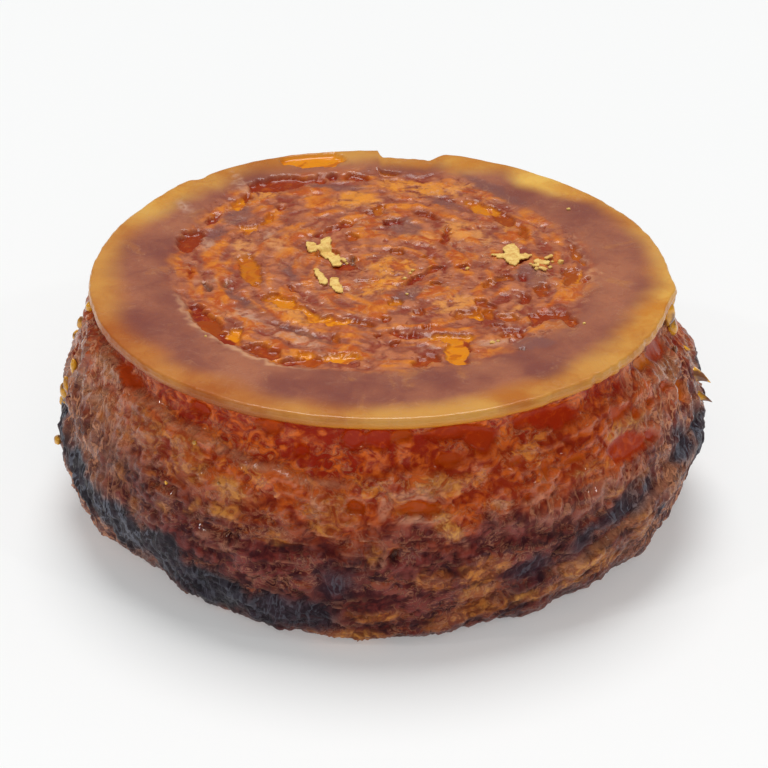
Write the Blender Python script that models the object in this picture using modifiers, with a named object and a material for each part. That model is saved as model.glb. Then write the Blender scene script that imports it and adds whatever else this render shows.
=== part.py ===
"""Kouign amann: a round, caramelised pastry of rolled, buttered dough, resting on its crown.

It stands as it does once it is turned out of its tin: the flat caramel disc that set on
the tin's floor is on top, and the craggy, bulging wall of dough is below it. There are
two solids, the pastry and the caramel disc that lies on it. Units are metres, +Z is up,
and the origin is on the floor, at the middle of the whole object's box.
"""

import math

import bpy
from mathutils import Vector, noise

MM = 0.001

# Driving dimensions.
HEIGHT = 35.0 * MM
DISC_RADIUS = 41.35 * MM
DISC_THICKNESS = 1.8 * MM
DISC_BEVEL = 0.35 * MM
BULGE_RADIUS = 45.4 * MM  # the wall's widest ring
BULGE_HEIGHT = 16.0 * MM
FOOT_RADIUS = 33.0 * MM  # the flat patch that the pastry rests on
NECK_RADIUS = 40.2 * MM  # the drawn-in band under the disc's lip
CLEARANCE = 0.3 * MM  # between the pastry and the disc on it

DISC_UNDERSIDE = HEIGHT - DISC_THICKNESS
PASTRY_TOP = DISC_UNDERSIDE - CLEARANCE

# How finely the two turned shapes are divided.
COLUMNS = 96
WALL_STEP = 1.75 * MM
FACE_STEP = 8.0 * MM  # across the pastry's flat top and base
DISC_STEP = 2.1 * MM

# The hand-rolled drum isn't round. At each angle, in degrees from +X towards +Y with -90 at
# the front: how far the wall stands out of its turned profile low down and at the bulge, and
# how far below the top its outermost turn of dough ends, all in mm.
STATIONS = (
    (-180.0, 0.2, 0.0, 3.4),
    (-160.0, -0.8, -0.2, 3.2),
    (-140.0, -1.8, -0.2, 6.5),
    (-120.0, -0.1, 0.0, 8.5),
    (-100.0, 0.7, 0.0, 9.0),
    (-85.0, 0.1, 0.0, 8.0),
    (-70.0, -1.5, 0.0, 6.5),
    (-55.0, -1.8, 0.2, 5.5),
    (-40.0, -0.9, 0.8, 5.5),
    (-20.0, 0.1, 1.3, 7.0),
    (0.0, 0.5, 1.5, 11.5),
    (30.0, 0.4, 0.7, 11.0),
    (60.0, -0.2, 0.2, 8.0),
    (100.0, -0.6, 0.3, 7.0),
    (140.0, 0.1, 0.4, 5.0),
)
LOW_BOTTOM, LOW_TOP = 4.0 * MM, 16.0 * MM  # the low offsets fade out between these heights
BULGE_BAND = 8.0 * MM  # and the bulge's offsets within this much of it
WALL_FROM = 41.0 * MM  # all of the unevenness shows outside this radius, and none on the foot
WAIST_HEIGHT, WAIST_WIDTH, WAIST_DEPTH = 16.5 * MM, 1.6 * MM, 0.7 * MM
WAIST_WANDER = 1.2 * MM
CRAG_SIZE, CRAG_DEPTH = 5.5 * MM, 1.0 * MM
LAYER_WIDTH, LAYER_HEIGHT, LAYER_DEPTH = 9.0 * MM, 2.6 * MM, 0.5 * MM

# The roll's spiral, as it shows in the disc's face.
SPIRAL_OUTER = 30.0 * MM
SPIRAL_PITCH = 5.6 * MM
SPIRAL_DEPTH = 0.45 * MM
SPIRAL_WANDER = 0.35  # of a turn
POCKET_DEPTH = 0.95 * MM
# Gaps between the turns of dough that sank as the caramel set:
# angle in degrees, distance from the middle, length along the spiral, width, all in mm.
POCKETS = (
    (105.0, 38.0, 8.0, 3.4),
    (116.0, 33.0, 15.0, 2.6),
    (158.0, 29.8, 6.5, 3.0),
    (176.0, 18.6, 7.0, 3.4),
    (-153.0, 27.3, 11.0, 4.6),
    (-119.0, 26.0, 12.0, 3.6),
    (-119.0, 13.6, 13.0, 3.2),
    (-63.0, 23.3, 5.0, 7.5),
    (-75.0, 25.4, 4.0, 3.0),
    (-41.0, 16.8, 7.0, 3.2),
    (-26.0, 27.0, 6.5, 4.0),
    (48.0, 27.0, 9.0, 3.0),
)

# The rim's uneven outline: chips where it stuck to the tin, and a ruffled stretch.
RIM_WANDER = 0.15 * MM
CHIP_FROM, CHIP_TO, CHIP_DEPTH = 77.0, 90.5, 2.4 * MM
CHIP_EASE = 2.0  # degrees over which the chip's sides slope
SPUR_ANGLE, SPUR_WIDTH, SPUR = -4.0, 4.5, 0.8 * MM
BACK_ANGLE, BACK_WIDTH, BACK_SWELL = 118.0, 20.0, 0.8 * MM
RUFFLE_ANGLE, RUFFLE_WIDTH, RUFFLE = -38.0, 18.0, 0.3 * MM
RUFFLES_PER_TURN = 40

COLORS = {
    "pastry": (0.42, 0.105, 0.018, 1.0),
    "caramel_disc": (0.62, 0.27, 0.065, 1.0),
}
ROUGHNESS = {"pastry": 0.3, "caramel_disc": 0.22}


def smooth_step(low, high, value):
    """0 below low, 1 above high, and an even S between them."""
    share = min(1.0, max(0.0, (value - low) / (high - low)))
    return share * share * (3.0 - 2.0 * share)


def turn_between(angle, centre):
    """Signed degrees from centre to angle, the short way round."""
    return (angle - centre + 180.0) % 360.0 - 180.0


def hump(angle, centre, width):
    """A bell of height 1 round an angle, width degrees to its side."""
    return math.exp(-((turn_between(angle, centre) / width) ** 2))


def smooth_noise(angle, radius, height, width, tall, seed):
    """Even noise from -1 to 1 that closes on itself round the axis, its features width across and tall high."""
    turn = math.radians(angle)
    place = Vector((radius * math.cos(turn) / width, radius * math.sin(turn) / width, height / tall))
    return noise.noise(place + Vector((seed, -seed, seed * 0.5)))


def rounded_line(points, step):
    """Points along a smooth curve through the given ones, about step apart."""
    ends = [points[0], *points, points[-1]]
    line = [Vector(points[0])]
    for a, b, c, d in zip(ends, ends[1:], ends[2:], ends[3:]):
        a, b, c, d = Vector(a), Vector(b), Vector(c), Vector(d)
        pieces = max(1, round((c - b).length / step))
        for i in range(1, pieces + 1):
            t = i / pieces
            bend = (2 * a - 5 * b + 4 * c - d) * t * t + (3 * b - a - 3 * c + d) * t ** 3
            line.append((2 * b + (c - a) * t + bend) / 2)
    return line


def straight_line(start, end, step):
    """Points from start to end, about step apart, without the start."""
    start, end = Vector(start), Vector(end)
    pieces = max(1, round((end - start).length / step))
    return [start.lerp(end, i / pieces) for i in range(1, pieces + 1)]


def turned(name, profile, collection):
    """A closed body turned from a profile of (radius, height), from the axis on top down to the axis below."""
    guide_mesh = bpy.data.meshes.new(name + "_profile")
    edges = [(i, i + 1) for i in range(len(profile) - 1)]
    guide_mesh.from_pydata([(r, 0.0, z) for r, z in profile], edges, [])
    guide = bpy.data.objects.new(name + "_profile", guide_mesh)
    collection.objects.link(guide)
    screw = guide.modifiers.new("turn", "SCREW")
    screw.steps = COLUMNS
    screw.render_steps = COLUMNS
    screw.use_merge_vertices = True
    screw.merge_threshold = 0.00001
    graph = bpy.context.evaluated_depsgraph_get()
    mesh = bpy.data.meshes.new_from_object(guide.evaluated_get(graph))
    mesh.name = name
    bpy.data.objects.remove(guide)
    bpy.data.meshes.remove(guide_mesh)
    body = bpy.data.objects.new(name, mesh)
    collection.objects.link(body)
    return body


def reshape(body, rule):
    """Moves each vertex to where rule(angle, radius, height) puts it, as a new (radius, height)."""
    for vertex in body.data.vertices:
        radius = math.hypot(vertex.co.x, vertex.co.y)
        turn = math.atan2(vertex.co.y, vertex.co.x)
        new_radius, new_height = rule(math.degrees(turn), radius, vertex.co.z)
        vertex.co = (new_radius * math.cos(turn), new_radius * math.sin(turn), new_height)


def at_stations(angle, column):
    """The value of one column of STATIONS at any angle, in metres, eased from each station to the next."""
    for i, station in enumerate(STATIONS):
        after = STATIONS[(i + 1) % len(STATIONS)]
        span = (after[0] - station[0]) % 360.0
        gone = (angle - station[0]) % 360.0
        if gone <= span:
            return (station[column] + (after[column] - station[column]) * smooth_step(0.0, span, gone)) * MM
    return STATIONS[0][column] * MM


def wall_place(angle, radius, height):
    """The pastry's wall: an uneven, bulging drum with a waist and crags, drawn in to a neck under the lip."""
    edge = smooth_step(FOOT_RADIUS, WALL_FROM, radius)
    if edge == 0.0:
        return radius, height
    low = 1.0 - smooth_step(LOW_BOTTOM, LOW_TOP, height)
    out = at_stations(angle, 1) * low
    out += at_stations(angle, 2) * math.exp(-(((height - BULGE_HEIGHT) / BULGE_BAND) ** 2))
    waist = WAIST_HEIGHT + WAIST_WANDER * smooth_noise(angle, BULGE_RADIUS, 0.0, 10 * MM, 1.0, 7.7)
    out -= WAIST_DEPTH * math.exp(-(((height - waist) / WAIST_WIDTH) ** 2))
    out += CRAG_DEPTH * smooth_noise(angle, BULGE_RADIUS, height, CRAG_SIZE, CRAG_SIZE, 11.3)
    out += LAYER_DEPTH * smooth_noise(angle, BULGE_RADIUS, height, LAYER_WIDTH, LAYER_HEIGHT, 5.9)
    new_radius = radius + out * edge
    shoulder = HEIGHT - at_stations(angle, 3)
    drawn_in = smooth_step(shoulder - 1.0 * MM, PASTRY_TOP - 0.5 * MM, height)
    if radius > NECK_RADIUS:
        new_radius += (NECK_RADIUS - new_radius) * drawn_in
    return new_radius, height


def rim_offset(angle):
    """How far the disc's rim stands out of its circle."""
    out = RIM_WANDER * smooth_noise(angle, DISC_RADIUS, 0.0, 6 * MM, 1.0, 2.3)
    begun = smooth_step(CHIP_FROM - CHIP_EASE, CHIP_FROM + CHIP_EASE, angle)
    ended = smooth_step(CHIP_TO - CHIP_EASE, CHIP_TO, angle)
    out -= CHIP_DEPTH * (begun - ended)
    out += SPUR * hump(angle, SPUR_ANGLE, SPUR_WIDTH)
    out += BACK_SWELL * hump(angle, BACK_ANGLE, BACK_WIDTH)
    ruffle = hump(angle, RUFFLE_ANGLE, RUFFLE_WIDTH)
    return out + RUFFLE * ruffle * math.sin(math.radians(angle) * RUFFLES_PER_TURN)


def in_pocket(angle, radius, pocket):
    """1 at a pocket's middle, falling to 0 at its edge."""
    pocket_angle, pocket_radius, length, width = pocket
    along = math.radians(turn_between(angle, pocket_angle)) * radius / (length * MM / 2)
    across = (radius - pocket_radius * MM) / (width * MM / 2)
    return 1.0 - smooth_step(0.55, 1.15, math.hypot(along, across))


def face_depth(angle, radius):
    """How far the disc's face sinks below its plane, in its pockets and along the roll's spiral."""
    pocket = max(in_pocket(angle, radius, p) for p in POCKETS)
    turns = radius / SPIRAL_PITCH + angle / 360.0
    wander = SPIRAL_WANDER * smooth_noise(angle, radius, 0.0, 9 * MM, 1.0, 4.4)
    groove = 0.5 + 0.5 * math.cos(2 * math.pi * (turns + wander))
    inside = 1.0 - smooth_step(SPIRAL_OUTER - 2 * MM, SPIRAL_OUTER, radius)
    return max(POCKET_DEPTH * pocket, SPIRAL_DEPTH * groove * inside)


def disc_place(angle, radius, height):
    """The caramel disc: an uneven rim, and a face that shows the roll below it."""
    edge = smooth_step(SPIRAL_OUTER, DISC_RADIUS, radius)
    sunk = 0.0
    on_face = height > (HEIGHT + DISC_UNDERSIDE) / 2 and radius < DISC_RADIUS - DISC_BEVEL / 2
    if on_face:
        sunk = face_depth(angle, radius)
    return radius + rim_offset(angle) * edge, height - sunk


def make_pastry(collection):
    """The dough: a flat top under the disc, the wall's curve, and a flat patch to rest on."""
    wall = [
        (NECK_RADIUS + 1.2 * MM, PASTRY_TOP),
        (41.9 * MM, 30.0 * MM),
        (42.9 * MM, 27.0 * MM),
        (44.4 * MM, 22.0 * MM),
        (BULGE_RADIUS, BULGE_HEIGHT),
        (45.1 * MM, 10.5 * MM),
        (44.1 * MM, 6.0 * MM),
        (42.6 * MM, 2.6 * MM),
        (39.8 * MM, 0.7 * MM),
        (FOOT_RADIUS + 2.8 * MM, 0.1 * MM),
        (FOOT_RADIUS, 0.0),
    ]
    profile = [Vector((0.0, PASTRY_TOP))]
    profile += straight_line(profile[0], wall[0], FACE_STEP)
    profile += rounded_line(wall, WALL_STEP)[1:]
    profile += straight_line(wall[-1], (0.0, 0.0), FACE_STEP)
    pastry = turned("pastry", profile, collection)
    reshape(pastry, wall_place)
    return pastry


def make_disc(collection):
    """The sheet of caramel that set on the tin's floor, with a lip past the neck below."""
    rim = [
        (DISC_RADIUS - DISC_BEVEL, HEIGHT),
        (DISC_RADIUS, HEIGHT - DISC_BEVEL),
        (DISC_RADIUS, DISC_UNDERSIDE + DISC_BEVEL),
        (DISC_RADIUS - DISC_BEVEL, DISC_UNDERSIDE),
    ]
    profile = [Vector((0.0, HEIGHT))]
    profile += straight_line(profile[0], rim[0], DISC_STEP)
    profile += [Vector(point) for point in rim[1:]]
    profile += straight_line(rim[-1], (0.0, DISC_UNDERSIDE), FACE_STEP)
    disc = turned("caramel_disc", profile, collection)
    reshape(disc, disc_place)
    return disc


def finish(body):
    """Gives a body its material and smooth shading."""
    material = bpy.data.materials.new(body.name)
    material.use_nodes = True
    surface = material.node_tree.nodes["Principled BSDF"]
    surface.inputs["Base Color"].default_value = COLORS[body.name]
    surface.inputs["Roughness"].default_value = ROUGHNESS[body.name]
    surface.inputs["Metallic"].default_value = 0.0
    body.data.materials.clear()
    body.data.materials.append(material)
    body.data.shade_smooth()
    body.data.set_sharp_from_angle(angle=math.radians(50.0))


def centre(bodies):
    """Moves the bodies together so that the origin is at the middle of their box, seen from above."""
    points = [vertex.co for body in bodies for vertex in body.data.vertices]
    middle_x = (min(p.x for p in points) + max(p.x for p in points)) / 2
    middle_y = (min(p.y for p in points) + max(p.y for p in points)) / 2
    for body in bodies:
        for vertex in body.data.vertices:
            vertex.co.x -= middle_x
            vertex.co.y -= middle_y


def main():
    for obj in list(bpy.data.objects):
        bpy.data.objects.remove(obj)
    collection = bpy.data.collections.new("kouign_amann")
    bpy.context.scene.collection.children.link(collection)
    bodies = [make_pastry(collection), make_disc(collection)]
    centre(bodies)
    for body in bodies:
        finish(body)


main()
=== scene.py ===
# %% [markdown]
# # A kouign amann, turned out of its tin
#
# A kouign amann is a roll of buttered, sugared dough, baked in a small round tin until the
# sugar turns to caramel. Turned out, it stands on its crown. The sheet of caramel that set on
# the tin's floor is on top, and the craggy wall of dough bulges out below it.
#
# The sizes and the two solids come from the imported model. Here they get their surface: the
# fine relief is real mesh, and the colours are painted on with masks that the same functions
# work out, so that a hollow painted dark as shade is dark exactly where it is hollow. Some of
# the paint stands for light: painted highlights, sheen and glow.

# %% Load the frame
import math

import bmesh
import bpy
from mathutils import Matrix, Vector, noise
from mathutils.bvhtree import BVHTree


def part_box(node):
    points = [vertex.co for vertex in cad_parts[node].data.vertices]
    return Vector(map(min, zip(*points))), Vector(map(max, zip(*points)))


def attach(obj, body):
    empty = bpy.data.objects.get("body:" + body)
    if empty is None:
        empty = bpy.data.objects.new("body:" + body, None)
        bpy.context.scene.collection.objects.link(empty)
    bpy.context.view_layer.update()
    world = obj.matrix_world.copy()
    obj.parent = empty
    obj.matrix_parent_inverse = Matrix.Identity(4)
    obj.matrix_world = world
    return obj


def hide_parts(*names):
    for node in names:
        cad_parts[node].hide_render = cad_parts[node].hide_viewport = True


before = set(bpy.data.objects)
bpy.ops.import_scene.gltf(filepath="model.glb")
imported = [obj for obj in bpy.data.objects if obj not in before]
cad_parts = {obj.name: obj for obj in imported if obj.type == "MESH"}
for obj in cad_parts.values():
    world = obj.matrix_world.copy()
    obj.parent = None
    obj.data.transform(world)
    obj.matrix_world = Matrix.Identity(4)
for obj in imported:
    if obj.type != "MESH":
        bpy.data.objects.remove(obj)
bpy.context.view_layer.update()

MM = 0.001
pastry_low, pastry_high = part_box("pastry")
disc_low, disc_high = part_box("caramel_disc")
print("pastry", [round(v / MM, 1) for v in pastry_high - pastry_low], "mm")
print("disc", [round(v / MM, 1) for v in disc_high - disc_low], "mm")

# %% [markdown]
# ## The axis
#
# Both solids are turned bodies, but the origin is at the middle of their uneven box. The
# pastry's flat foot is still a true circle, so the middle of the foot is on the axis. Each new
# piece is shaped round the axis first, in millimetres, and moved there at the end.

# %% Find the axis
foot = [v.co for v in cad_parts["pastry"].data.vertices if v.co.z < 0.001 * MM]
across = [v.x for v in foot]
along = [v.y for v in foot]
AXIS = Vector((min(across) + max(across), min(along) + max(along), 0.0)) / 2
TOP = disc_high.z / MM
DISC_THICK = (disc_high.z - disc_low.z) / MM
PASTRY_TOP = pastry_high.z / MM
DISC_RADIUS = 41.35
print("axis", [round(v / MM, 2) for v in AXIS], "mm, top at", round(TOP, 1), "mm")

# %% [markdown]
# ## Shaping tools
#
# Everything here is worked out by small functions of an angle and a height, the way a potter
# thinks of a bowl. `ease` is a soft step, `away` is the way round between two angles, and the
# noises give crags, creases and pebbles. Angles are degrees from +X towards +Y, so the front
# is at -90.


# %% Steps and angles
def ease(low, high, value):
    share = min(1.0, max(0.0, (value - low) / (high - low)))
    return share * share * (3.0 - 2.0 * share)


def away(angle, centre):
    return (angle - centre + 180.0) % 360.0 - 180.0


def hump(angle, centre, width):
    return math.exp(-((away(angle, centre) / width) ** 2))


class Round:
    """Values given at a few stations round the axis, eased between them and read at any angle."""

    STEPS = 1440

    def __init__(self, *stations):
        ring = list(zip(stations, stations[1:] + stations[:1]))
        self.rows = [self.between(ring, 360.0 * i / self.STEPS) for i in range(self.STEPS)]

    @staticmethod
    def between(ring, angle):
        for row, after in ring:
            span = (after[0] - row[0]) % 360.0
            gone = (angle - row[0]) % 360.0
            if gone <= span:
                share = ease(0.0, span, gone)
                return [a + (b - a) * share for a, b in zip(row, after)]

    def __call__(self, angle, column):
        return self.rows[round(angle * self.STEPS / 360.0) % self.STEPS][column]


# %% Noises
def rough(p, size, seed):
    """Even noise, about -1 to 1, with features of the given size."""
    return noise.noise(p / size + Vector((seed, -seed, 0.5 * seed)))


def crusty(p, size, seed, octaves=3):
    """Rounded lumps with sharp creases between them, about 0 to 1."""
    return noise.turbulence(p / size + Vector((seed, -seed, 0.5 * seed)), octaves, True)


def stretched(angle, radius, height, across, tall):
    """A point for the noises, with features across wide and tall high on the wall."""
    turn = math.radians(angle)
    return Vector((radius * math.cos(turn) / across, radius * math.sin(turn) / across, height / tall))


print("crusty noise at one place:", round(crusty(Vector((1, 2, 3)), 2, 1), 2))

# %% [markdown]
# ## Patches
#
# Much of what makes this pastry itself is single patches: a pocket of clear caramel here, a
# burnt place there. A `Patches` table holds them as ragged ovals. Each row is the middle, half
# the length and half the width in millimetres, the direction in degrees and a tone from 0 to 1.
# Rows are sorted into squares first, so that a vertex only looks at the rows near it.


# %% Patches
class Patches:
    SQUARE = 4.0

    def __init__(self, soft, rows, round_trip=None):
        self.soft = soft
        self.squares = {}
        shifts = (0.0,) if round_trip is None else (-round_trip, 0.0, round_trip)
        for x, y, half_long, half_wide, direction, tone in rows:
            turn = math.radians(direction)
            for shift in shifts:
                row = (x + shift, y, half_long, half_wide, math.cos(turn), math.sin(turn), tone)
                self.sort_in(row, max(half_long, half_wide) + 2.0 * soft)

    def sort_in(self, row, reach):
        low_i, low_j = self.square(row[0] - reach, row[1] - reach)
        high_i, high_j = self.square(row[0] + reach, row[1] + reach)
        for i in range(low_i, high_i + 1):
            for j in range(low_j, high_j + 1):
                self.squares.setdefault((i, j), []).append(row)

    def square(self, x, y):
        return math.floor(x / self.SQUARE), math.floor(y / self.SQUARE)

    def __call__(self, x, y):
        """How far a place is inside a patch, 0 to 1, and that patch's tone."""
        best, best_tone = 0.0, 0.0
        for row_x, row_y, half_long, half_wide, cosine, sine, tone in self.squares.get(self.square(x, y), ()):
            long = ((x - row_x) * cosine + (y - row_y) * sine) / half_long
            wide = ((y - row_y) * cosine - (x - row_x) * sine) / half_wide
            outside = (math.hypot(long, wide) - 1.1) * min(half_long, half_wide)
            here = 1.0 - ease(-self.soft, self.soft, outside)
            if here > best:
                best, best_tone = here, tone
        return best, best_tone


print("in a patch:", Patches(0.3, [(0, 0, 2, 1, 30, 0.5)])(0.5, 0.5))

# %% [markdown]
# ## Turning a body
#
# A turned body is one profile, carried all the way round. A flat grid is rolled up for it: its
# columns go round the axis and its rows go down the profile. The two sides meet in a seam and
# the poles on the axis are a heap of vertices, so they are merged, and only then are the
# normals made to point outwards.


# %% Turn a profile
def curve_through(points, step):
    """A smooth line through points, its own points about step apart."""
    ends = [points[0], *points, points[-1]]
    line = [Vector(points[0])]
    for a, b, c, d in zip(ends, ends[1:], ends[2:], ends[3:]):
        a, b, c, d = Vector(a), Vector(b), Vector(c), Vector(d)
        pieces = max(1, round((c - b).length / step))
        for i in range(1, pieces + 1):
            t = i / pieces
            bend = (2 * a - 5 * b + 4 * c - d) * t * t + (3 * b - a - 3 * c + d) * t**3
            line.append((2 * b + (c - a) * t + bend) / 2)
    return line


def straight(start, end, step):
    start, end = Vector(start), Vector(end)
    pieces = max(1, round((end - start).length / step))
    return [start.lerp(end, i / pieces) for i in range(1, pieces + 1)]


def turn_body(profile, columns):
    """A closed bmesh in millimetres from a profile of (radius, height), top to bottom."""
    body = bmesh.new()
    rows = len(profile) - 1
    bmesh.ops.create_grid(body, x_segments=columns, y_segments=rows, size=0.5)
    for v in body.verts:
        angle = math.tau * (v.co.x + 0.5)
        radius, height = profile[round((0.5 - v.co.y) * rows)]
        v.co = (radius * math.cos(angle), radius * math.sin(angle), height)
    bmesh.ops.remove_doubles(body, verts=body.verts, dist=0.002)
    bmesh.ops.recalc_face_normals(body, faces=body.faces)
    return body


def masks_of(body, names):
    return {name: body.verts.layers.float.new(name) for name in names}


def make_piece(name, body, material):
    """Turns a bmesh in millimetres round the axis into a finished piece of the object."""
    bmesh.ops.transform(body, matrix=Matrix.Translation(AXIS) @ Matrix.Scale(MM, 4), verts=body.verts)
    mesh = bpy.data.meshes.new(name)
    body.to_mesh(mesh)
    body.free()
    mesh.shade_smooth()
    mesh.materials.append(material)
    piece = bpy.data.objects.new(name, mesh)
    bpy.context.scene.collection.objects.link(piece)
    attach(piece, "root")
    triangles = sum(len(face.vertices) - 2 for face in mesh.polygons)
    print(name, len(mesh.vertices), "vertices,", triangles, "triangles")
    return piece


# %% [markdown]
# ## Shader sums
#
# A material is a set of nodes, and most of them do sums. `Value` wraps one socket, so that
# `1 - mask` or `mask * 0.4` adds its own Math node. Every other node comes from `Paint.node`,
# which sets the node's settings first and then its inputs, by name or by number.


# %% A value that does sums
class Value:
    def __init__(self, paint, socket):
        self.paint = paint
        self.socket = socket

    def sum(self, operation, first, second):
        return self.paint.node("ShaderNodeMath", {"operation": operation}, {0: first, 1: second})

    def __add__(self, other):
        return self.sum("ADD", self, other)

    def __sub__(self, other):
        return self.sum("SUBTRACT", self, other)

    def __rsub__(self, other):
        return self.sum("SUBTRACT", other, self)

    def __mul__(self, other):
        return self.sum("MULTIPLY", self, other)

    __radd__ = __add__
    __rmul__ = __mul__


# %% A material and its nodes
class Paint:
    def __init__(self, name):
        self.material = bpy.data.materials.new(name)
        self.material.use_nodes = True
        self.tree = self.material.node_tree
        self.surface = self.tree.nodes["Principled BSDF"]
        self.where = self.node("ShaderNodeTexCoord", {}, {}, "Object")

    def node(self, kind, settings, inputs, output=0):
        made = self.tree.nodes.new(kind)
        for setting, value in settings.items():
            setattr(made, setting, value)
        for socket, value in inputs.items():
            self.give(made.inputs[socket], value)
        return Value(self, made.outputs[output])

    def give(self, socket, value):
        if isinstance(value, Value):
            self.tree.links.new(value.socket, socket)
        else:
            socket.default_value = value

    def set(self, **inputs):
        """Sockets of the shader, written with _ for a space."""
        for name, value in inputs.items():
            self.give(self.surface.inputs[name.replace("_", " ")], value)

    def mask(self, name):
        return self.node("ShaderNodeAttribute", {"attribute_name": name}, {}, "Fac")

    def grain(self, size, detail=3.0, blur=0.5, bend=0.0, stretch=(1, 1, 1)):
        """Noise from 0 to 1, features about size millimetres, longer along an axis with a small stretch."""
        place = self.node("ShaderNodeVectorMath", {"operation": "MULTIPLY"}, {0: self.where, 1: stretch})
        settings = {"Vector": place, "Scale": 1.0 / (size * MM), "Detail": detail, "Roughness": blur}
        return self.node("ShaderNodeTexNoise", {}, {**settings, "Distortion": bend})

    def step(self, value, low, high):
        ends = {"Value": value, "From Min": low, "From Max": high}
        return self.node("ShaderNodeMapRange", {"interpolation_type": "SMOOTHSTEP"}, ends)

    def mix(self, first, second, factor):
        return self.node("ShaderNodeMix", {"data_type": "RGBA"}, {0: factor, 6: first, 7: second}, 2)

    def lines(self, value, width):
        """Thin lines, 1 where the value is just 0.5."""
        return 1 - self.step((value - 0.5) * (value - 0.5), 0.0, width)

    def bump(self, height, depth, strength):
        """A normal from a height of 0 to 1 that stands for depth millimetres."""
        inputs = {"Height": height, "Distance": depth * MM, "Strength": strength}
        return self.node("ShaderNodeBump", {}, inputs)


def shade(red, green, blue):
    """A colour as a screen shows it, 0 to 255, made linear for the shader."""
    parts = [v / 255 for v in (red, green, blue)]
    return (*[v / 12.92 if v < 0.04 else ((v + 0.055) / 1.055) ** 2.4 for v in parts], 1.0)


print("mid brown is", [round(v, 3) for v in shade(150, 75, 40)])

# %% [markdown]
# ## The wall's shape
#
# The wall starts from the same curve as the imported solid: a foot that turns under, a bulge a
# little under half of the way up, and a neck drawn in below the lip. The tables give its unevenness at a
# few angles, in millimetres: how far it stands out low down and at the bulge, and how far
# below the top the outer turn of dough ends in a ledge.

# %% The wall's tables
FOOT, BULGE, BULGE_AT, NECK = 33.0, 45.4, 16.0, 40.2
WALL = (
    (NECK + 1.2, PASTRY_TOP),
    (41.9, 30.0),
    (42.9, 27.0),
    (44.4, 22.0),
    (BULGE, BULGE_AT),
    (45.1, 10.5),
    (44.1, 6.0),
    (42.6, 2.6),
    (39.8, 0.7),
    (FOOT + 2.8, 0.1),
    (FOOT, 0.0),
)
STATIONS = Round(
    (-180.0, 0.8, 0.5, 3.4),
    (-160.0, 0.4, 0.5, 3.6),
    (-140.0, -1.2, 0.1, 5.4),
    (-125.0, -0.7, 0.0, 6.9),
    (-112.0, 0.5, 0.0, 8.6),
    (-98.0, 0.7, 0.0, 9.6),
    (-85.0, 0.1, 0.0, 8.0),
    (-70.0, -1.5, 0.0, 6.5),
    (-55.0, -2.2, 0.2, 5.5),
    (-40.0, -2.2, 0.5, 5.5),
    (-20.0, -1.2, 0.5, 7.0),
    (0.0, -0.6, 0.4, 12.0),
    (30.0, -0.6, -1.2, 15.0),
    (60.0, -0.4, -0.2, 9.0),
    (100.0, -0.6, 0.3, 7.0),
    (140.0, 0.1, 0.4, 5.0),
)
# The lowest turn of dough stands proud below a slanting line: angle, height of the line, how proud.
LOW_TURN = Round(
    (-180.0, 1.0, 0.0),
    (-100.0, 2.0, 0.3),
    (-78.0, 4.0, 0.7),
    (-56.0, 8.6, 1.2),
    (-46.0, 10.6, 1.3),
    (-36.0, 14.0, 1.1),
    (-18.0, 17.0, 0.8),
    (10.0, 15.0, 0.7),
    (60.0, 9.0, 1.0),
    (100.0, 5.0, 0.8),
    (140.0, 2.0, 0.3),
)
print("the ledge at the front is", round(STATIONS(-90, 3), 1), "mm below the top")

# %% [markdown]
# The wall's patches are measured along the wall: the angle is given in degrees for easy
# reading, and `along_wall` turns it to millimetres. `POOLS` are clear caramel, dark red to
# amber. `CRUST` is golden dough; one row high on the right is a painted highlight, bright
# amber glints. `BURNT` goes from slate purple to black. `MAROON` is dark dough under a thick
# film. `PAINTED_HIGHLIGHTS` holds painted highlights: pale peach streaks where light catches the film.
# `PITS` are hollows painted nearly black as painted shade. The back carries on in the same way.

# %% The wall's patches
MM_A_DEGREE = math.radians(44.0)


def along_wall(rows):
    return [(row[0] * MM_A_DEGREE, *row[1:]) for row in rows]


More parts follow.
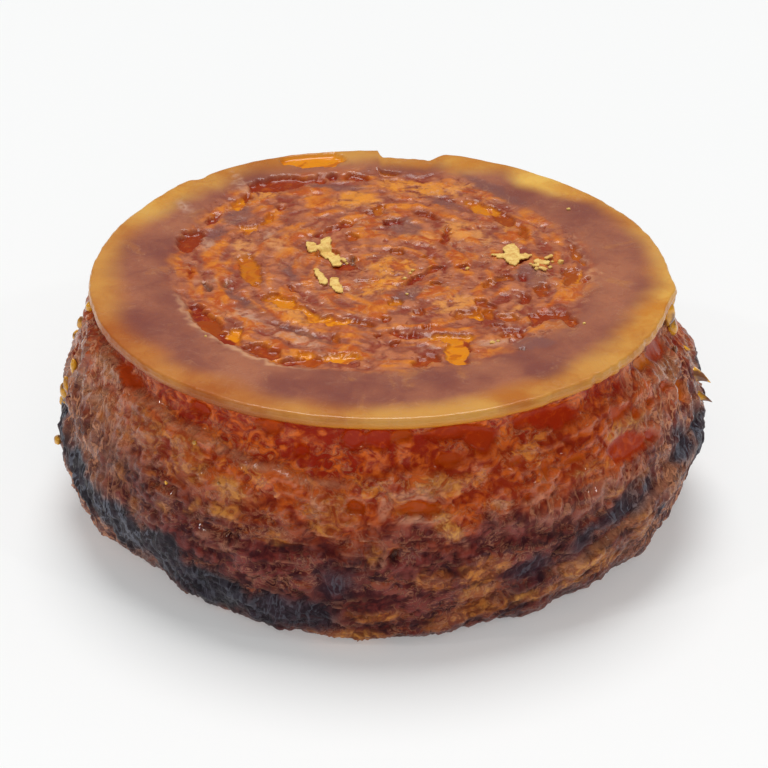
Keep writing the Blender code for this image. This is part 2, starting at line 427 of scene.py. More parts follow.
POOL_ROWS = (
    (-95.2, 31.1, 1.9, 1.2, 0, 0.0),
    (-90.2, 31.3, 1.8, 1.3, 0, 0.0),
    (-85.7, 31.6, 1.5, 0.9, 0, 0.2),
    (-76.0, 31.7, 3.8, 0.8, 0, 0.05),
    (-70.4, 30.3, 2.3, 1.5, 0, 0.05),
    (-54.5, 30.7, 4.4, 1.4, -5, 0.0),
    (-60.5, 31.4, 2.0, 0.9, 0, 0.05),
    (-38.6, 28.0, 2.1, 0.8, -8, 0.15),
    (-17.8, 30.2, 3.3, 1.6, -12, 0.1),
    (-25.5, 30.6, 2.7, 1.0, -10, 0.7),
    (-39.5, 23.2, 3.4, 1.6, -3, 0.05),
    (-36.0, 22.6, 1.6, 1.2, -30, 0.05),
    (-31.9, 22.2, 1.3, 0.9, -30, 0.05),
    (-34.2, 26.3, 1.0, 0.6, 0, 0.2),
    (-29.6, 26.4, 0.8, 0.5, 0, 0.25),
    (-16.8, 23.6, 2.0, 1.4, -10, 0.5),
    (-22.0, 25.8, 1.5, 0.6, -25, 0.2),
    (-83.5, 22.6, 3.0, 0.9, 0, 0.25),
    (-93.9, 22.7, 0.9, 0.8, 0, 0.2),
    (-104.9, 28.8, 0.9, 0.7, 0, 0.0),
    (-77.3, 28.2, 1.8, 0.7, 0, 0.15),
    (-64.5, 27.1, 1.0, 0.6, 0, 0.2),
    (-58.7, 24.9, 1.0, 0.7, 80, 0.25),
    (-62.8, 22.0, 0.8, 0.4, 0, 0.15),
    (-52.0, 25.0, 2.0, 0.5, 0, 0.3),
    (-149.0, 30.6, 3.0, 0.8, -8, 0.1),
    (-128.0, 31.2, 2.0, 1.1, 0, 0.05),
    (-112.0, 31.6, 2.0, 0.9, 0, 0.15),
    (8.0, 26.0, 2.6, 1.6, 0, 0.3),
    (30.0, 29.0, 4.0, 1.3, 0, 0.05),
    (52.0, 24.0, 3.0, 1.5, 10, 0.1),
    (88.0, 30.0, 4.0, 1.4, 0, 0.0),
    (104.0, 25.0, 2.4, 1.2, -10, 0.3),
    (135.0, 30.5, 3.4, 1.2, 0, 0.05),
    (160.0, 28.0, 2.4, 1.0, 0, 0.2),
)
CRUST_ROWS = (
    (-127.5, 25.0, 3.2, 2.6, -60, 0.3),
    (-117.0, 22.8, 2.6, 1.4, -10, 0.5),
    (-118.0, 19.6, 2.2, 0.9, 10, 0.5),
    (-107.5, 17.2, 1.6, 0.9, 0, 0.45),
    (-98.6, 21.8, 2.9, 2.6, 0, 0.2),
    (-100.0, 19.6, 1.6, 0.8, -20, 0.5),
    (-77.8, 19.8, 1.9, 1.2, -70, 0.95),
    (-79.0, 21.6, 1.8, 0.8, 0, 0.7),
    (-91.0, 16.0, 1.3, 0.8, 90, 0.45),
    (-79.5, 25.6, 3.5, 0.9, 0, 0.6),
    (-71.8, 12.0, 3.0, 2.0, 0, 0.35),
    (-80.6, 11.7, 2.4, 1.3, -15, 0.3),
    (-72.4, 8.2, 2.3, 1.0, 0, 0.55),
    (-90.0, 5.9, 3.3, 0.9, 5, 0.35),
    (-96.0, 2.0, 5.0, 0.8, 0, 0.6),
    (-64.5, 5.7, 1.2, 0.8, 0, 0.8),
    (-73.0, 4.8, 5.0, 1.0, 8, 0.35),
    (-50.0, 8.4, 2.9, 1.5, 10, 0.7),
    (-57.0, 5.6, 6.0, 0.8, -3, 0.6),
    (-36.5, 10.6, 2.6, 2.2, -60, 0.5),
    (-45.0, 7.0, 2.4, 1.6, 0, 0.45),
    (-41.0, 5.8, 2.0, 1.0, 0, 0.6),
    (-27.0, 13.2, 2.4, 1.0, 15, 0.5),
    # Painted highlight: this row stands for bright amber glints.
    (-35.0, 25.6, 3.0, 0.8, -5, 0.85),
    (-50.5, 23.2, 1.6, 0.5, 0, 0.6),
    (-44.5, 18.0, 1.2, 0.7, -20, 0.6),
    (-36.0, 17.6, 1.0, 0.8, 90, 0.45),
    (-139.0, 26.5, 4.0, 2.0, -20, 0.15),
    (-152.0, 25.0, 3.0, 2.2, 0, 0.15),
    (-143.0, 18.3, 1.0, 0.7, 80, 0.45),
    (-131.5, 17.0, 0.9, 0.6, 0, 0.5),
    (-124.8, 18.6, 1.0, 0.4, 60, 0.6),
    (-139.7, 14.6, 1.0, 0.5, 80, 0.5),
    (-151.8, 13.8, 1.0, 0.6, 70, 0.45),
    (-172.0, 22.0, 2.4, 1.2, 60, 0.3),
    (5.0, 9.0, 3.0, 1.4, 10, 0.4),
    (28.0, 20.0, 4.0, 2.0, -15, 0.4),
    (60.0, 16.0, 4.0, 2.0, 0, 0.5),
    (78.0, 23.0, 3.4, 1.6, 10, 0.3),
    (96.0, 12.0, 4.0, 1.6, -10, 0.5),
    (118.0, 20.0, 3.0, 2.2, 30, 0.3),
    (148.0, 17.0, 3.0, 1.4, -20, 0.5),
)
BURNT_ROWS = (
    (-158.0, 11.0, 7.0, 4.2, -12, 0.9),
    (-146.0, 8.8, 7.0, 4.4, -8, 0.9),
    (-133.0, 7.8, 6.0, 4.6, 0, 0.85),
    (-121.0, 6.0, 6.0, 4.0, -5, 0.95),
    (-110.0, 4.8, 5.0, 3.0, 0, 0.8),
    (-98.2, 11.4, 2.7, 1.9, 60, 0.25),
    (-103.5, 5.5, 4.4, 2.6, -5, 0.7),
    (-172.0, 13.0, 5.0, 3.0, -30, 0.8),
    (-62.0, 10.0, 2.8, 2.0, 0, 0.3),
    (-51.0, 12.6, 3.0, 1.5, 20, 0.5),
    (-43.0, 14.6, 4.2, 1.3, 22, 0.6),
    (-36.0, 16.0, 2.4, 1.0, 20, 0.5),
    (-30.5, 10.2, 2.2, 1.3, -60, 0.4),
    (-22.0, 17.0, 4.0, 2.4, -40, 0.4),
    (-12.0, 15.0, 4.0, 3.6, -50, 0.7),
    (-4.0, 11.0, 4.0, 4.0, 0, 0.9),
    (4.0, 19.0, 3.5, 3.0, 0, 0.7),
    (24.0, 9.0, 9.0, 3.4, 8, 0.8),
    (44.0, 6.0, 8.0, 3.0, -6, 0.6),
    (62.0, 8.5, 7.0, 2.4, 10, 0.4),
    (84.0, 5.5, 9.0, 3.2, -4, 0.8),
    (104.0, 9.0, 7.0, 3.4, -12, 0.5),
    (124.0, 6.5, 9.0, 4.0, 5, 0.8),
    (142.0, 10.0, 7.0, 3.6, -10, 0.6),
    (160.0, 8.0, 8.0, 4.6, 6, 0.9),
    (176.0, 11.0, 6.0, 4.0, 0, 0.8),
)
MAROON_ROWS = (
    (-67.0, 17.6, 7.0, 2.2, 3, 1.0),
    (-84.0, 18.9, 3.4, 1.5, 0, 0.8),
    (-84.0, 15.0, 4.0, 1.6, 0, 0.9),
    (-50.0, 18.6, 6.0, 2.0, 0, 0.7),
    (-111.0, 13.0, 8.0, 2.6, 0, 0.8),
    (-128.0, 14.5, 8.0, 2.8, 0, 0.7),
    (-145.0, 16.5, 7.0, 2.6, -5, 0.9),
    (-168.0, 17.0, 6.0, 3.0, 0, 0.9),
    (-24.0, 20.5, 5.0, 3.4, -20, 0.8),
    (-10.0, 22.5, 5.0, 3.4, -30, 0.9),
    (-84.0, 9.0, 6.0, 3.0, 0, 0.7),
    (-31.0, 19.0, 4.0, 2.4, -10, 0.8),
    (-63.0, 11.0, 4.0, 2.6, 0, 0.9),
    (60.0, 20.0, 9.0, 2.0, 5, 0.8),
    (110.0, 15.0, 9.0, 2.0, -5, 0.8),
)
# Painted highlights: pale peach streaks where light catches the film.
PAINTED_HIGHLIGHT_ROWS = (
    (-84.0, 24.3, 3.6, 0.5, 0, 0.8),
    (-89.0, 23.0, 1.6, 0.7, 85, 0.7),
    (-83.0, 21.1, 3.0, 0.5, 2, 0.8),
    (-62.0, 21.6, 1.6, 0.4, 10, 0.6),
    (-68.5, 21.9, 1.2, 0.5, -20, 0.6),
    (-101.0, 23.4, 1.4, 0.4, -30, 0.7),
    (-94.0, 23.6, 0.9, 0.4, 0, 0.6),
    (-122.0, 15.2, 1.2, 0.6, 0, 0.5),
    (-117.0, 15.0, 1.8, 0.5, 0, 0.5),
    (-113.0, 10.6, 0.7, 0.6, 0, 0.4),
    (-75.8, 17.4, 0.9, 0.3, -50, 0.6),
    (-90.2, 14.8, 0.8, 0.3, 20, 0.9),
    (-33.0, 23.8, 2.0, 0.3, -25, 0.6),
    (-23.0, 24.8, 2.6, 0.4, -15, 0.5),
)
# Pits: small hollows, sunk into the wall and painted nearly black as painted shade.
PIT_ROWS = (
    (-87.3, 16.1, 0.9, 0.6, 60, 0.6),
    (-75.6, 17.8, 0.7, 0.4, 0, 0.4),
    (-64.6, 4.9, 0.9, 0.6, 40, 0.6),
    (-57.6, 12.0, 1.0, 0.6, 70, 0.4),
    (40.0, 14.0, 1.2, 0.6, 0, 0.4),
    (92.0, 18.0, 1.0, 0.6, 0, 0.5),
    (130.0, 13.0, 1.1, 0.6, 0, 0.4),
)
ROUND_TRIP = 360.0 * MM_A_DEGREE
POOLS = Patches(0.25, along_wall(POOL_ROWS), ROUND_TRIP)
CRUST = Patches(0.6, along_wall(CRUST_ROWS), ROUND_TRIP)
BURNT = Patches(1.2, along_wall(BURNT_ROWS), ROUND_TRIP)
MAROON = Patches(1.0, along_wall(MAROON_ROWS), ROUND_TRIP)
PAINTED_HIGHLIGHTS = Patches(0.3, along_wall(PAINTED_HIGHLIGHT_ROWS), ROUND_TRIP)
PITS = Patches(0.3, along_wall(PIT_ROWS), ROUND_TRIP)
print(len(POOL_ROWS), "pools,", len(CRUST_ROWS), "golden patches,", len(BURNT_ROWS), "burnt patches")


# %% The wall's large form
def wall_radius(angle, radius, height):
    """The large form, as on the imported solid, with a sharper ledge under the neck."""
    edge = ease(FOOT, 41.0, radius)
    low = 1.0 - ease(4.0, 16.0, height)
    out = STATIONS(angle, 1) * low
    out += STATIONS(angle, 2) * math.exp(-(((height - BULGE_AT) / 8.0) ** 2))
    around = stretched(angle, BULGE, 0.0, 1, 1)
    waist = BULGE_AT + 0.7 + 1.2 * rough(around, 10, 7.7)
    out -= 0.6 * math.exp(-(((height - waist) / 1.4) ** 2))
    out *= edge
    ledge = TOP - STATIONS(angle, 3) + 0.7 * rough(around, 5, 3.1) + 0.3 * rough(around, 1.7, 5.1)
    if radius > NECK:
        slope = ease(ledge - 1.0, PASTRY_TOP - 0.5, height)
        sharp = ease(ledge - 0.35, ledge + 0.35, height)
        left = hump(angle, -130, 40)
        drawn = max(slope, 0.75 * sharp * left + slope * (1.0 - 0.55 * left) * 0.9)
        out += (NECK - radius - out) * min(1.0, drawn)
    return radius + out, ledge


print("mid wall radius at the front:", round(wall_radius(-90, 45, 16)[0], 2), "mm")

# %% [markdown]
# The relief has four scales: broad crags, lumps with sharp creases, the edges of the dough's
# thin layers, which overhang a little like shingles, and a fine crust. On the flanks upright
# wrinkles take over from the layers. Pools lie low and flat, because a liquid filled them.

# %% The wall's relief
WALL_MASKS = (
    "neck", "low", "maroon", "crust", "golden", "burnt", "black", "painted_highlight", "painted_edge_highlight", "flank", "pool", "amber",
    "pit", "relief",
)
LAYER_THICK = 2.3


def shape_wall(body, marks):
    """Moves every vertex of the turned wall to its place and writes its masks."""
    body.normal_update()
    relief = {}
    for v in body.verts:
        radius = math.hypot(v.co.x, v.co.y)
        height = v.co.z
        if radius < FOOT - 3.0 or height > PASTRY_TOP - 0.01 and radius < NECK - 2.0:
            continue
        angle = math.degrees(math.atan2(v.co.y, v.co.x))
        on_wall = ease(FOOT - 2.0, 41.0, radius) * (1.0 - ease(PASTRY_TOP - 0.4, PASTRY_TOP, height))
        new_radius, ledge = wall_radius(angle, radius, height)
        p = Vector((v.co.x, v.co.y, height))
        ragged = 0.8 * rough(p, 2.6, 1.7) + 0.45 * rough(p, 1.0, 8.3)
        across = angle * MM_A_DEGREE + 0.8 * rough(p, 2.4, 31.7) + 0.45 * rough(p, 1.0, 38.3)
        up = height + 0.7 * ragged
        pool, amber = POOLS(across, up)
        crust, golden = CRUST(across + ragged, up)
        torn = 2.2 * hump(angle, 85.0, 85.0)
        shred = torn * rough(p, 1.8, 43.9)
        burnt, black = BURNT(
            across + (1.6 + torn) * rough(p, 5.0, 3.9) + shred,
            up + (1.6 + torn) * rough(p, 4.0, 13.9) + 0.6 * shred,
        )
        maroon, dark = MAROON(across + 1.6 * rough(p, 5.0, 23.9), up + ragged)
        painted_highlight = PAINTED_HIGHLIGHTS(across, up)
        pit, deep = PITS(across, up)
        pit *= deep
        neck = ease(ledge - 0.2, ledge + 0.8, height + 0.25 * ragged)
        neck *= 1.0 - 0.6 * ease(-92, -78, angle) * (1 - ease(-1.0, 3.0, height - 29.0 + ragged))
        right_flank = ease(-50, -22, angle) * (1 - ease(20, 60, angle))
        flank = max(right_flank, ease(-125, -160, angle), ease(165, 178, angle))
        band = 0.7 * ease(-75, -60, angle) * (1 - ease(20, 40, angle))
        stripes = max(flank, band * hump(height, 19.5, 3.0))
        bend = 2.0 * rough(p, 7.0, 6.6)
        upright = crusty(stretched(angle + bend, BULGE, height, 1.5, 9.0), 1.0, 2.2, 2)
        crags = rough(p, 8.0, 4.0) + 0.35 * rough(p, 4.0, 5.0)
        lumps = crusty(p, 3.6, 3.0) - 0.38
        layer = height + 1.6 * rough(p, 7.0, 6.1) + 0.8 * rough(p, 2.5, 2.2) + 0.3 * rough(p, 1.0, 2.9)
        layer /= LAYER_THICK
        laid = ease(-0.15, 0.2, rough(p, 5.0, 26.1)) * (1.0 - flank) * (1.0 - 0.6 * neck)
        shingle = (1.0 - layer % 1.0) * laid
        fine = crusty(p, 1.2, 14.0, 2) - 0.3
        lift = 0.8 * crags + 0.6 * lumps + 0.75 * (shingle - 0.5 * laid) + 0.4 * fine
        lift += (0.5 + 0.7 * flank) * stripes * (upright - 0.3)
        lift *= 1.0 - 0.5 * neck
        low_line = LOW_TURN(angle, 1) + 0.9 * rough(p, 3.0, 15.0)
        lift += LOW_TURN(angle, 2) * (1.0 - ease(low_line - 0.3, low_line + 0.4, height))
        lift += 0.35 * crust * (0.5 + 0.5 * golden)
        lift = lift * (1.0 - 0.85 * pool) - 0.6 * pool - 1.1 * pit
        turn = math.radians(angle)
        place = Vector((new_radius * math.cos(turn), new_radius * math.sin(turn), height))
        place += v.normal * lift * on_wall
        place.z = max(0.0, min(PASTRY_TOP, place.z))
        relief[v] = place
        # Pale lines along the ledge, the low turn's line, the shingles' lips and the flanks' wrinkles:
        # painted highlights where the edges catch the light.
        at_ledge = math.exp(-(((height - ledge + 0.1) / 0.2) ** 2))
        rim = at_ledge * ease(-168, -155, angle) * (1 - ease(-100, -92, angle))
        at_turn = math.exp(-(((height - low_line) / 0.35) ** 2))
        ridge = at_turn * ease(-60, -54, angle) * (1 - ease(-25, -15, angle))
        lip = (1.0 - ease(0.0, 0.22, layer % 1.0)) * laid
        painted_edge_highlight = max(0.8 * (1.0 - min(1.0, 4.0 * upright)) * stripes, 1.2 * rim, 0.8 * ridge, 0.5 * lip)
        left = hump(angle, -155.0, 36.0)
        dark_edge = height + 2.2 * ragged + 1.5 * rough(p, 9.0, 21.0)
        values = (
            neck,
            1.0 - ease(14.0 + 5.0 * left, 23.5 + 6.0 * left, dark_edge),
            maroon * dark,
            crust,
            golden,
            burnt,
            black,
            max(painted_highlight[0] * painted_highlight[1], 0.0),
            painted_edge_highlight * (1.0 - pool),
            stripes,
            pool,
            amber,
            pit,
            0.5 + 0.75 * lumps + 0.5 * fine,
        )
        for name, value in zip(WALL_MASKS, values):
            v[marks[name]] = value
    for v, place in relief.items():
        v.co = place


# %% [markdown]
# ## Baked dough under caramel
#
# The wall is dough edges, soaked in caramel. High up they are orange-brown, low down purple
# and nearly black, where the sugar burnt. The film over it is wet-looking on the crests, so
# the coat is strong there and gives small glints. Light is painted in as well: pale
# highlights along wrinkles, edges and folds, a greyed sheen on the flanks and on the burnt
# crests, and shade painted nearly black in the pits. The masks say where each colour lies,
# and noises at several sizes break it up.


# %% Paint for the wall
def dough_paint():
    paint = Paint("baked_dough")
    patches = paint.grain(6.5, 4.0, 0.6, 0.8, (0.8, 0.8, 1.7))
    mottle = paint.grain(1.5, 4.0, 0.65, 1.0)
    curls = paint.grain(2.4, 4.0, 0.55, 1.9, (1.0, 1.0, 1.3))
    upright = paint.grain(2.2, 3.0, 0.55, 0.9, (1.0, 1.0, 0.28))
    speck = paint.grain(0.45, 3.0, 0.6)
    relief = paint.mask("relief")
    burnt_here = paint.mask("burnt")
    flank = paint.mask("flank")
    wrinkle = paint.lines(curls, 0.0011) * paint.step(patches, 0.35, 0.6)
    fold = paint.lines(upright, 0.0014)
    crest = paint.step(relief * 0.45 + curls * 0.5 + patches * 0.35, 0.5, 0.78)
    golden = paint.step(patches * 0.7 + curls * 0.4, 0.58, 0.68)
    high = paint.mix(shade(146, 38, 4), shade(206, 90, 22), crest)
    high = paint.mix(high, shade(228, 146, 62), golden * 0.62)
    low = paint.mix(shade(50, 14, 20), shade(108, 38, 28), crest)
    low = paint.mix(low, shade(172, 86, 40), golden * 0.55)
    colour = paint.mix(high, low, paint.mask("low"))
    maroon = paint.mix(shade(72, 20, 24), shade(132, 54, 48), crest)
    colour = paint.mix(colour, maroon, paint.mask("maroon") * 0.85)
    deep = paint.mix(shade(146, 60, 18), shade(190, 108, 46), paint.mask("golden"))
    bright = paint.mix(shade(190, 100, 36), shade(232, 168, 86), paint.mask("golden"))
    crust = paint.mix(deep, bright, paint.step(mottle * 0.5 + curls * 0.5, 0.42, 0.62))
    broken = paint.step(patches * 0.5 + curls * 0.5, 0.42, 0.54)
    colour = paint.mix(colour, crust, paint.mask("crust") * (0.4 + 0.5 * broken))
    bare = paint.step(curls * 0.6 + relief * 0.3 + patches * 0.3, 0.52, 0.76)
    neck = paint.mix(shade(158, 32, 3), shade(228, 106, 30), bare)
    colour = paint.mix(colour, neck, paint.mask("neck") * 0.9)
    # On the flanks, seen at a slant, the colour is greyed to mauve and paler on upright crests: a painted
    # sheen of grazing reflection.
    wrinkled = paint.step(upright * 0.8 + relief * 0.3, 0.42, 0.76)
    painted_flank_sheen = paint.mix(shade(84, 46, 42), shade(176, 118, 92), wrinkled)
    colour = paint.mix(colour, painted_flank_sheen, flank * (0.25 + 0.75 * paint.step(patches, 0.36, 0.6)) * 0.6)
    slate = paint.mix(shade(58, 30, 40), shade(16, 18, 27), paint.mask("black"))
    # Grey-blue on the crests of the burnt places: a painted sheen of light reflected off the glossy char.
    painted_char_sheen = paint.mix(shade(86, 50, 56), shade(46, 50, 62), paint.mask("black"))
    burnt = paint.mix(slate, painted_char_sheen, paint.step(curls * 0.6 + relief * 0.4, 0.44, 0.72))
    colour = paint.mix(colour, burnt, burnt_here * 0.94)
    # Painted highlight colour for thin lines: pale peach, and on burnt places a grey-blue painted reflection.
    painted_highlight = paint.mix(shade(222, 150, 110), shade(122, 124, 136), burnt_here)
    # Painted highlights along the curly wrinkles.
    colour = paint.mix(colour, painted_highlight, wrinkle * (1 - burnt_here * 0.5) * 0.35)
    # Painted highlights along the upright folds of the flanks and the burnt places.
    colour = paint.mix(colour, painted_highlight, fold * paint.step(flank + burnt_here * 0.6, 0.3, 1.0) * 0.7)
    # Painted highlight: the pale peach streaks of the table above.
    colour = paint.mix(colour, shade(214, 150, 120), paint.mask("painted_highlight") * paint.step(curls, 0.3, 0.6) * 0.8)
    # Painted highlight along those edges and wrinkles.
    colour = paint.mix(colour, painted_highlight, paint.mask("painted_edge_highlight") * paint.step(mottle, 0.25, 0.55) * 0.6)
    clear = paint.mix(shade(168, 40, 2), shade(226, 128, 16), paint.mask("amber"))
    clear = paint.mix(clear, shade(214, 84, 8), paint.step(mottle, 0.5, 0.7) * 0.5)
    colour = paint.mix(colour, clear, paint.mask("pool"))
    # Painted shade: the pits are painted nearly black.
    colour = paint.mix(colour, shade(24, 10, 14), paint.mask("pit"))
    calm = 1 - paint.mask("pool")
    height = (curls * 0.45 + mottle * 0.25 + speck * 0.2 + wrinkle * 0.25 + fold * flank * 0.4) * calm
    normal = paint.bump(height, 0.42, 0.9)
    wet = paint.step(relief * 0.4 + patches * 0.6, 0.4, 0.62)
    wet *= (1 - burnt_here * 0.9) * (1 - paint.mask("low") * 0.5)
    paint.set(Base_Color=colour, Roughness=0.24 + 0.16 * speck - 0.08 * wet, Normal=normal)
    wet *= (1 - 0.5 * paint.mask("neck")) * (1 - 0.6 * paint.mask("pool"))
    paint.set(Coat_Weight=wet * 0.8 + 0.03, Coat_Roughness=0.06)
    paint.set(IOR=1.5, Specular_IOR_Level=0.08)
    return paint.material


# %% Make the wall
WALL_COLUMNS, WALL_STEP = 780, 0.38
HIDDEN_STEP = 8.0
wall_profile = [Vector((0.0, PASTRY_TOP))]
wall_profile += straight(wall_profile[0], WALL[0], HIDDEN_STEP)
wall_profile += curve_through(WALL, WALL_STEP)[1:]
wall_profile += straight(WALL[-1], (0.0, 0.0), HIDDEN_STEP)
wall_body = turn_body(wall_profile, WALL_COLUMNS)
shape_wall(wall_body, masks_of(wall_body, WALL_MASKS))
wall = make_piece("dough_wall", wall_body, dough_paint())
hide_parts("pastry")

# %% [markdown]
# ## The caramel disc's shape
#
# The disc is a flat sheet with a smooth outer ring. Inside the ring the roll of dough shows
# through and has sunk a little. `CLEAR` pockets are filled with caramel, from dark red to
# bright amber. `LIGHT` patches are paler: the warm ones orange dough that took less sugar, the
# pale peach ones a painted sheen. `DARK` ones are painted shade: darker mauve patches, and
# black in small sunken hollows.

# %% The disc's tables
# Width of the clear brim round the disc, and how pale it is, partly its own pale amber and
# partly a painted glow of light through the caramel: angle, width in mm, tone.
BRIM = Round(
    (-180, 3.2, 0.4),
    (-150, 3.5, 0.15),
    (-120, 3.2, 0.15),
    (-90, 3.2, 0.45),
    (-65, 3.6, 0.5),
    (-45, 4.4, 0.4),
    (-28, 4.2, 0.6),
    (-12, 3.2, 0.95),
    (10, 1.8, 0.6),
    (35, 1.9, 0.8),
    (46, 4.4, 1.0),
    (54, 5.8, 1.0),
    (62, 2.6, 0.6),
    (72, 4.8, 0.9),
    (80, 4.2, 0.5),
    (100, 2.6, 0.5),
    (120, 3.6, 0.5),
    (142, 3.6, 0.9),
    (158, 2.4, 0.4),
)
# Radius inside which the rolled dough shows, and how sharp its edge is.
ROLL = Round(
    (-180, 29.5, 0.3),
    (-165, 29.0, 0.9),
    (-150, 29.0, 1.0),
    (-119, 29.2, 1.0),
    (-100, 28.0, 0.6),
    (-75, 27.5, 0.3),
    (-43, 28.0, 0.3),
    (0, 30.0, 0.3),
    (45, 30.5, 0.4),
    (75, 34.5, 0.4),
    (105, 34.5, 0.5),
    (125, 34.5, 0.6),
    (158, 31.0, 0.7),
)
# Patches on the disc: as on the wall, but laid out a little too large. LAYOUT_SCALE brings them to
# the disc's size.
LAYOUT_SCALE = 0.978
CLEAR = (
    (-10.3, 38.6, 4.4, 2.3, 5, 1.0),
    (-15.0, 31.0, 4.6, 1.5, 14, 0.15),
    (-18.6, 29.6, 1.2, 1.4, 60, 0.1),
    (-9.3, 32.2, 0.9, 0.9, 0, 0.1),
    (-7.5, 33.2, 0.8, 0.7, 0, 0.0),
    (-3.4, 32.9, 1.6, 0.9, -8, 0.15),
    (1.3, 35.5, 1.4, 0.7, 0, 0.45),
    (-14.8, 23.2, 0.9, 0.6, 90, 0.15),
    (-20.3, 26.6, 1.5, 0.5, 85, 0.2),
    (-21.4, 24.6, 1.9, 0.9, 65, 0.85),
    (-25.2, 19.4, 1.8, 0.5, 65, 0.1),
    (-28.2, 12.2, 3.3, 1.5, 75, 0.15),
    (-27.9, 12.6, 1.6, 0.5, 80, 0.6),
    (-19.5, 16.5, 1.4, 1.0, 70, 0.7),
    (-17.0, 19.6, 2.3, 0.6, 75, 0.6),
    (-18.9, 2.8, 4.6, 1.3, 98, 0.55),
    (-27.8, 2.2, 1.5, 0.25, 90, 0.0),
    (0.0, 22.6, 1.7, 0.9, 75, 0.45),
    (-1.6, 21.4, 0.8, 0.5, 0, 0.2),
    (-7.2, 16.0, 3.8, 0.8, 35, 0.0),
    (2.0, 18.1, 1.3, 0.8, 0, 0.0),
    (-3.9, 13.6, 0.9, 0.9, 0, 0.35),
    (2.5, 8.6, 0.8, 0.6, 0, 0.3),
    (-5.2, 4.4, 1.8, 1.4, 0, 0.1),
    (-7.9, 8.0, 1.4, 1.2, 0, 0.35),
    (-12.7, -3.0, 0.7, 0.5, 90, 0.1),
    (-16.0, -5.0, 1.3, 0.7, 80, 0.5),
    (-13.5, -7.0, 2.6, 1.0, -40, 0.75),
    (-6.8, -12.6, 3.2, 1.1, -8, 0.95),
    (-2.6, -13.5, 1.6, 0.8, -20, 0.3),
    (-10.0, -10.5, 2.4, 0.8, -60, 0.85),
    (-25.9, -10.0, 2.0, 1.3, -75, 0.05),
    (-24.6, -13.5, 4.0, 1.5, -68, 0.25),
    (-22.2, -17.8, 2.6, 1.2, -60, 0.1),
    (-20.6, -17.0, 2.2, 0.7, -80, 0.9),
    (-16.6, -21.6, 2.7, 1.4, -50, 0.2),
    (-16.2, -20.9, 1.0, 0.5, -30, 0.9),
    (-12.6, -25.0, 1.8, 0.9, -10, 0.1),
    (-9.6, -24.6, 1.9, 1.3, -10, 0.3),
    (-10.3, -22.8, 1.2, 0.6, -40, 0.9),
    (-5.4, -23.8, 2.4, 0.9, -5, 0.95),
    (1.9, -19.9, 0.8, 0.7, 0, 0.2),
    (6.6, -25.0, 1.9, 1.1, 35, 0.2),
    (9.8, -18.2, 3.0, 1.0, 0, 0.75),
    (11.0, -22.4, 3.9, 1.6, 90, 0.85),
    (12.4, -21.5, 3.3, 0.4, 92, 0.15),
    (3.6, -17.1, 2.4, 0.7, -8, 0.1),
    (12.4, -11.4, 2.4, 1.1, 38, 0.4),
    (14.0, -12.0, 0.9, 0.7, 0, 0.9),
    (15.3, -7.8, 2.0, 0.8, -45, 0.2),
    (15.8, -11.0, 1.2, 0.6, 90, 0.3),
    (18.4, -12.2, 1.2, 0.8, -35, 0.4),
    (23.0, -12.0, 2.4, 1.2, 60, 0.15),
    (24.7, -10.9, 1.6, 1.0, 0, 0.2),
    (26.8, -12.6, 2.5, 1.0, 118, 0.2),
    (18.4, -15.8, 1.8, 0.5, 0, 0.1),
    (17.9, -17.4, 0.9, 0.45, 20, 0.15),
    (19.6, -17.2, 0.6, 0.6, 0, 0.2),
    (16.7, -14.5, 0.7, 0.4, 0, 0.15),
    (5.2, -0.3, 2.7, 0.6, 52, 0.05),
    (8.0, 2.8, 1.3, 0.8, 50, 0.15),
    (8.3, -1.6, 1.0, 0.5, 40, 0.3),
    (18.0, 0.1, 1.3, 0.7, 10, 0.35),
    (15.7, -1.8, 1.2, 0.6, 50, 0.35),
    (21.2, 0.2, 1.0, 0.6, 70, 0.05),
    (27.6, 0.2, 2.9, 0.8, 84, 0.3),
    (28.7, 0.2, 1.8, 0.5, 80, 0.8),
    (30.2, -0.4, 0.9, 0.4, 90, 0.1),
    (23.6, -3.2, 2.0, 0.8, 80, 0.25),
    (20.9, -6.4, 1.7, 0.6, 85, 0.15),
    (28.5, 9.2, 1.6, 0.5, 97, 0.3),
    (29.6, 5.9, 1.9, 0.5, 105, 0.4),
    (15.4, 22.9, 2.7, 1.4, -45, 0.7),
    (18.8, 19.2, 2.2, 1.1, -60, 0.25),
    (11.2, 25.4, 0.9, 0.25, -20, 0.1),
    (7.2, 20.2, 1.8, 0.6, -38, 0.15),
    (9.9, 14.4, 2.8, 0.35, 80, 0.1),
    (21.3, 15.1, 2.5, 0.6, 95, 0.3),
    (12.5, 3.7, 0.8, 0.6, 0, 0.0),
    (7.2, 6.8, 1.0, 0.6, 20, 0.5),
    (2.0, -7.4, 1.2, 1.0, 0, 0.6),
    (5.8, -10.2, 0.6, 0.6, 0, 0.2),
    (0.9, -12.3, 0.8, 0.5, -30, 0.1),
    (7.0, -15.0, 0.8, 0.6, 0, 0.25),
    (20.9, 5.9, 1.0, 0.6, 70, 0.05),
    (-0.6, -17.6, 0.7, 0.5, 90, 0.1),
    (-6.0, -17.9, 1.2, 0.6, 90, 0.3),
)
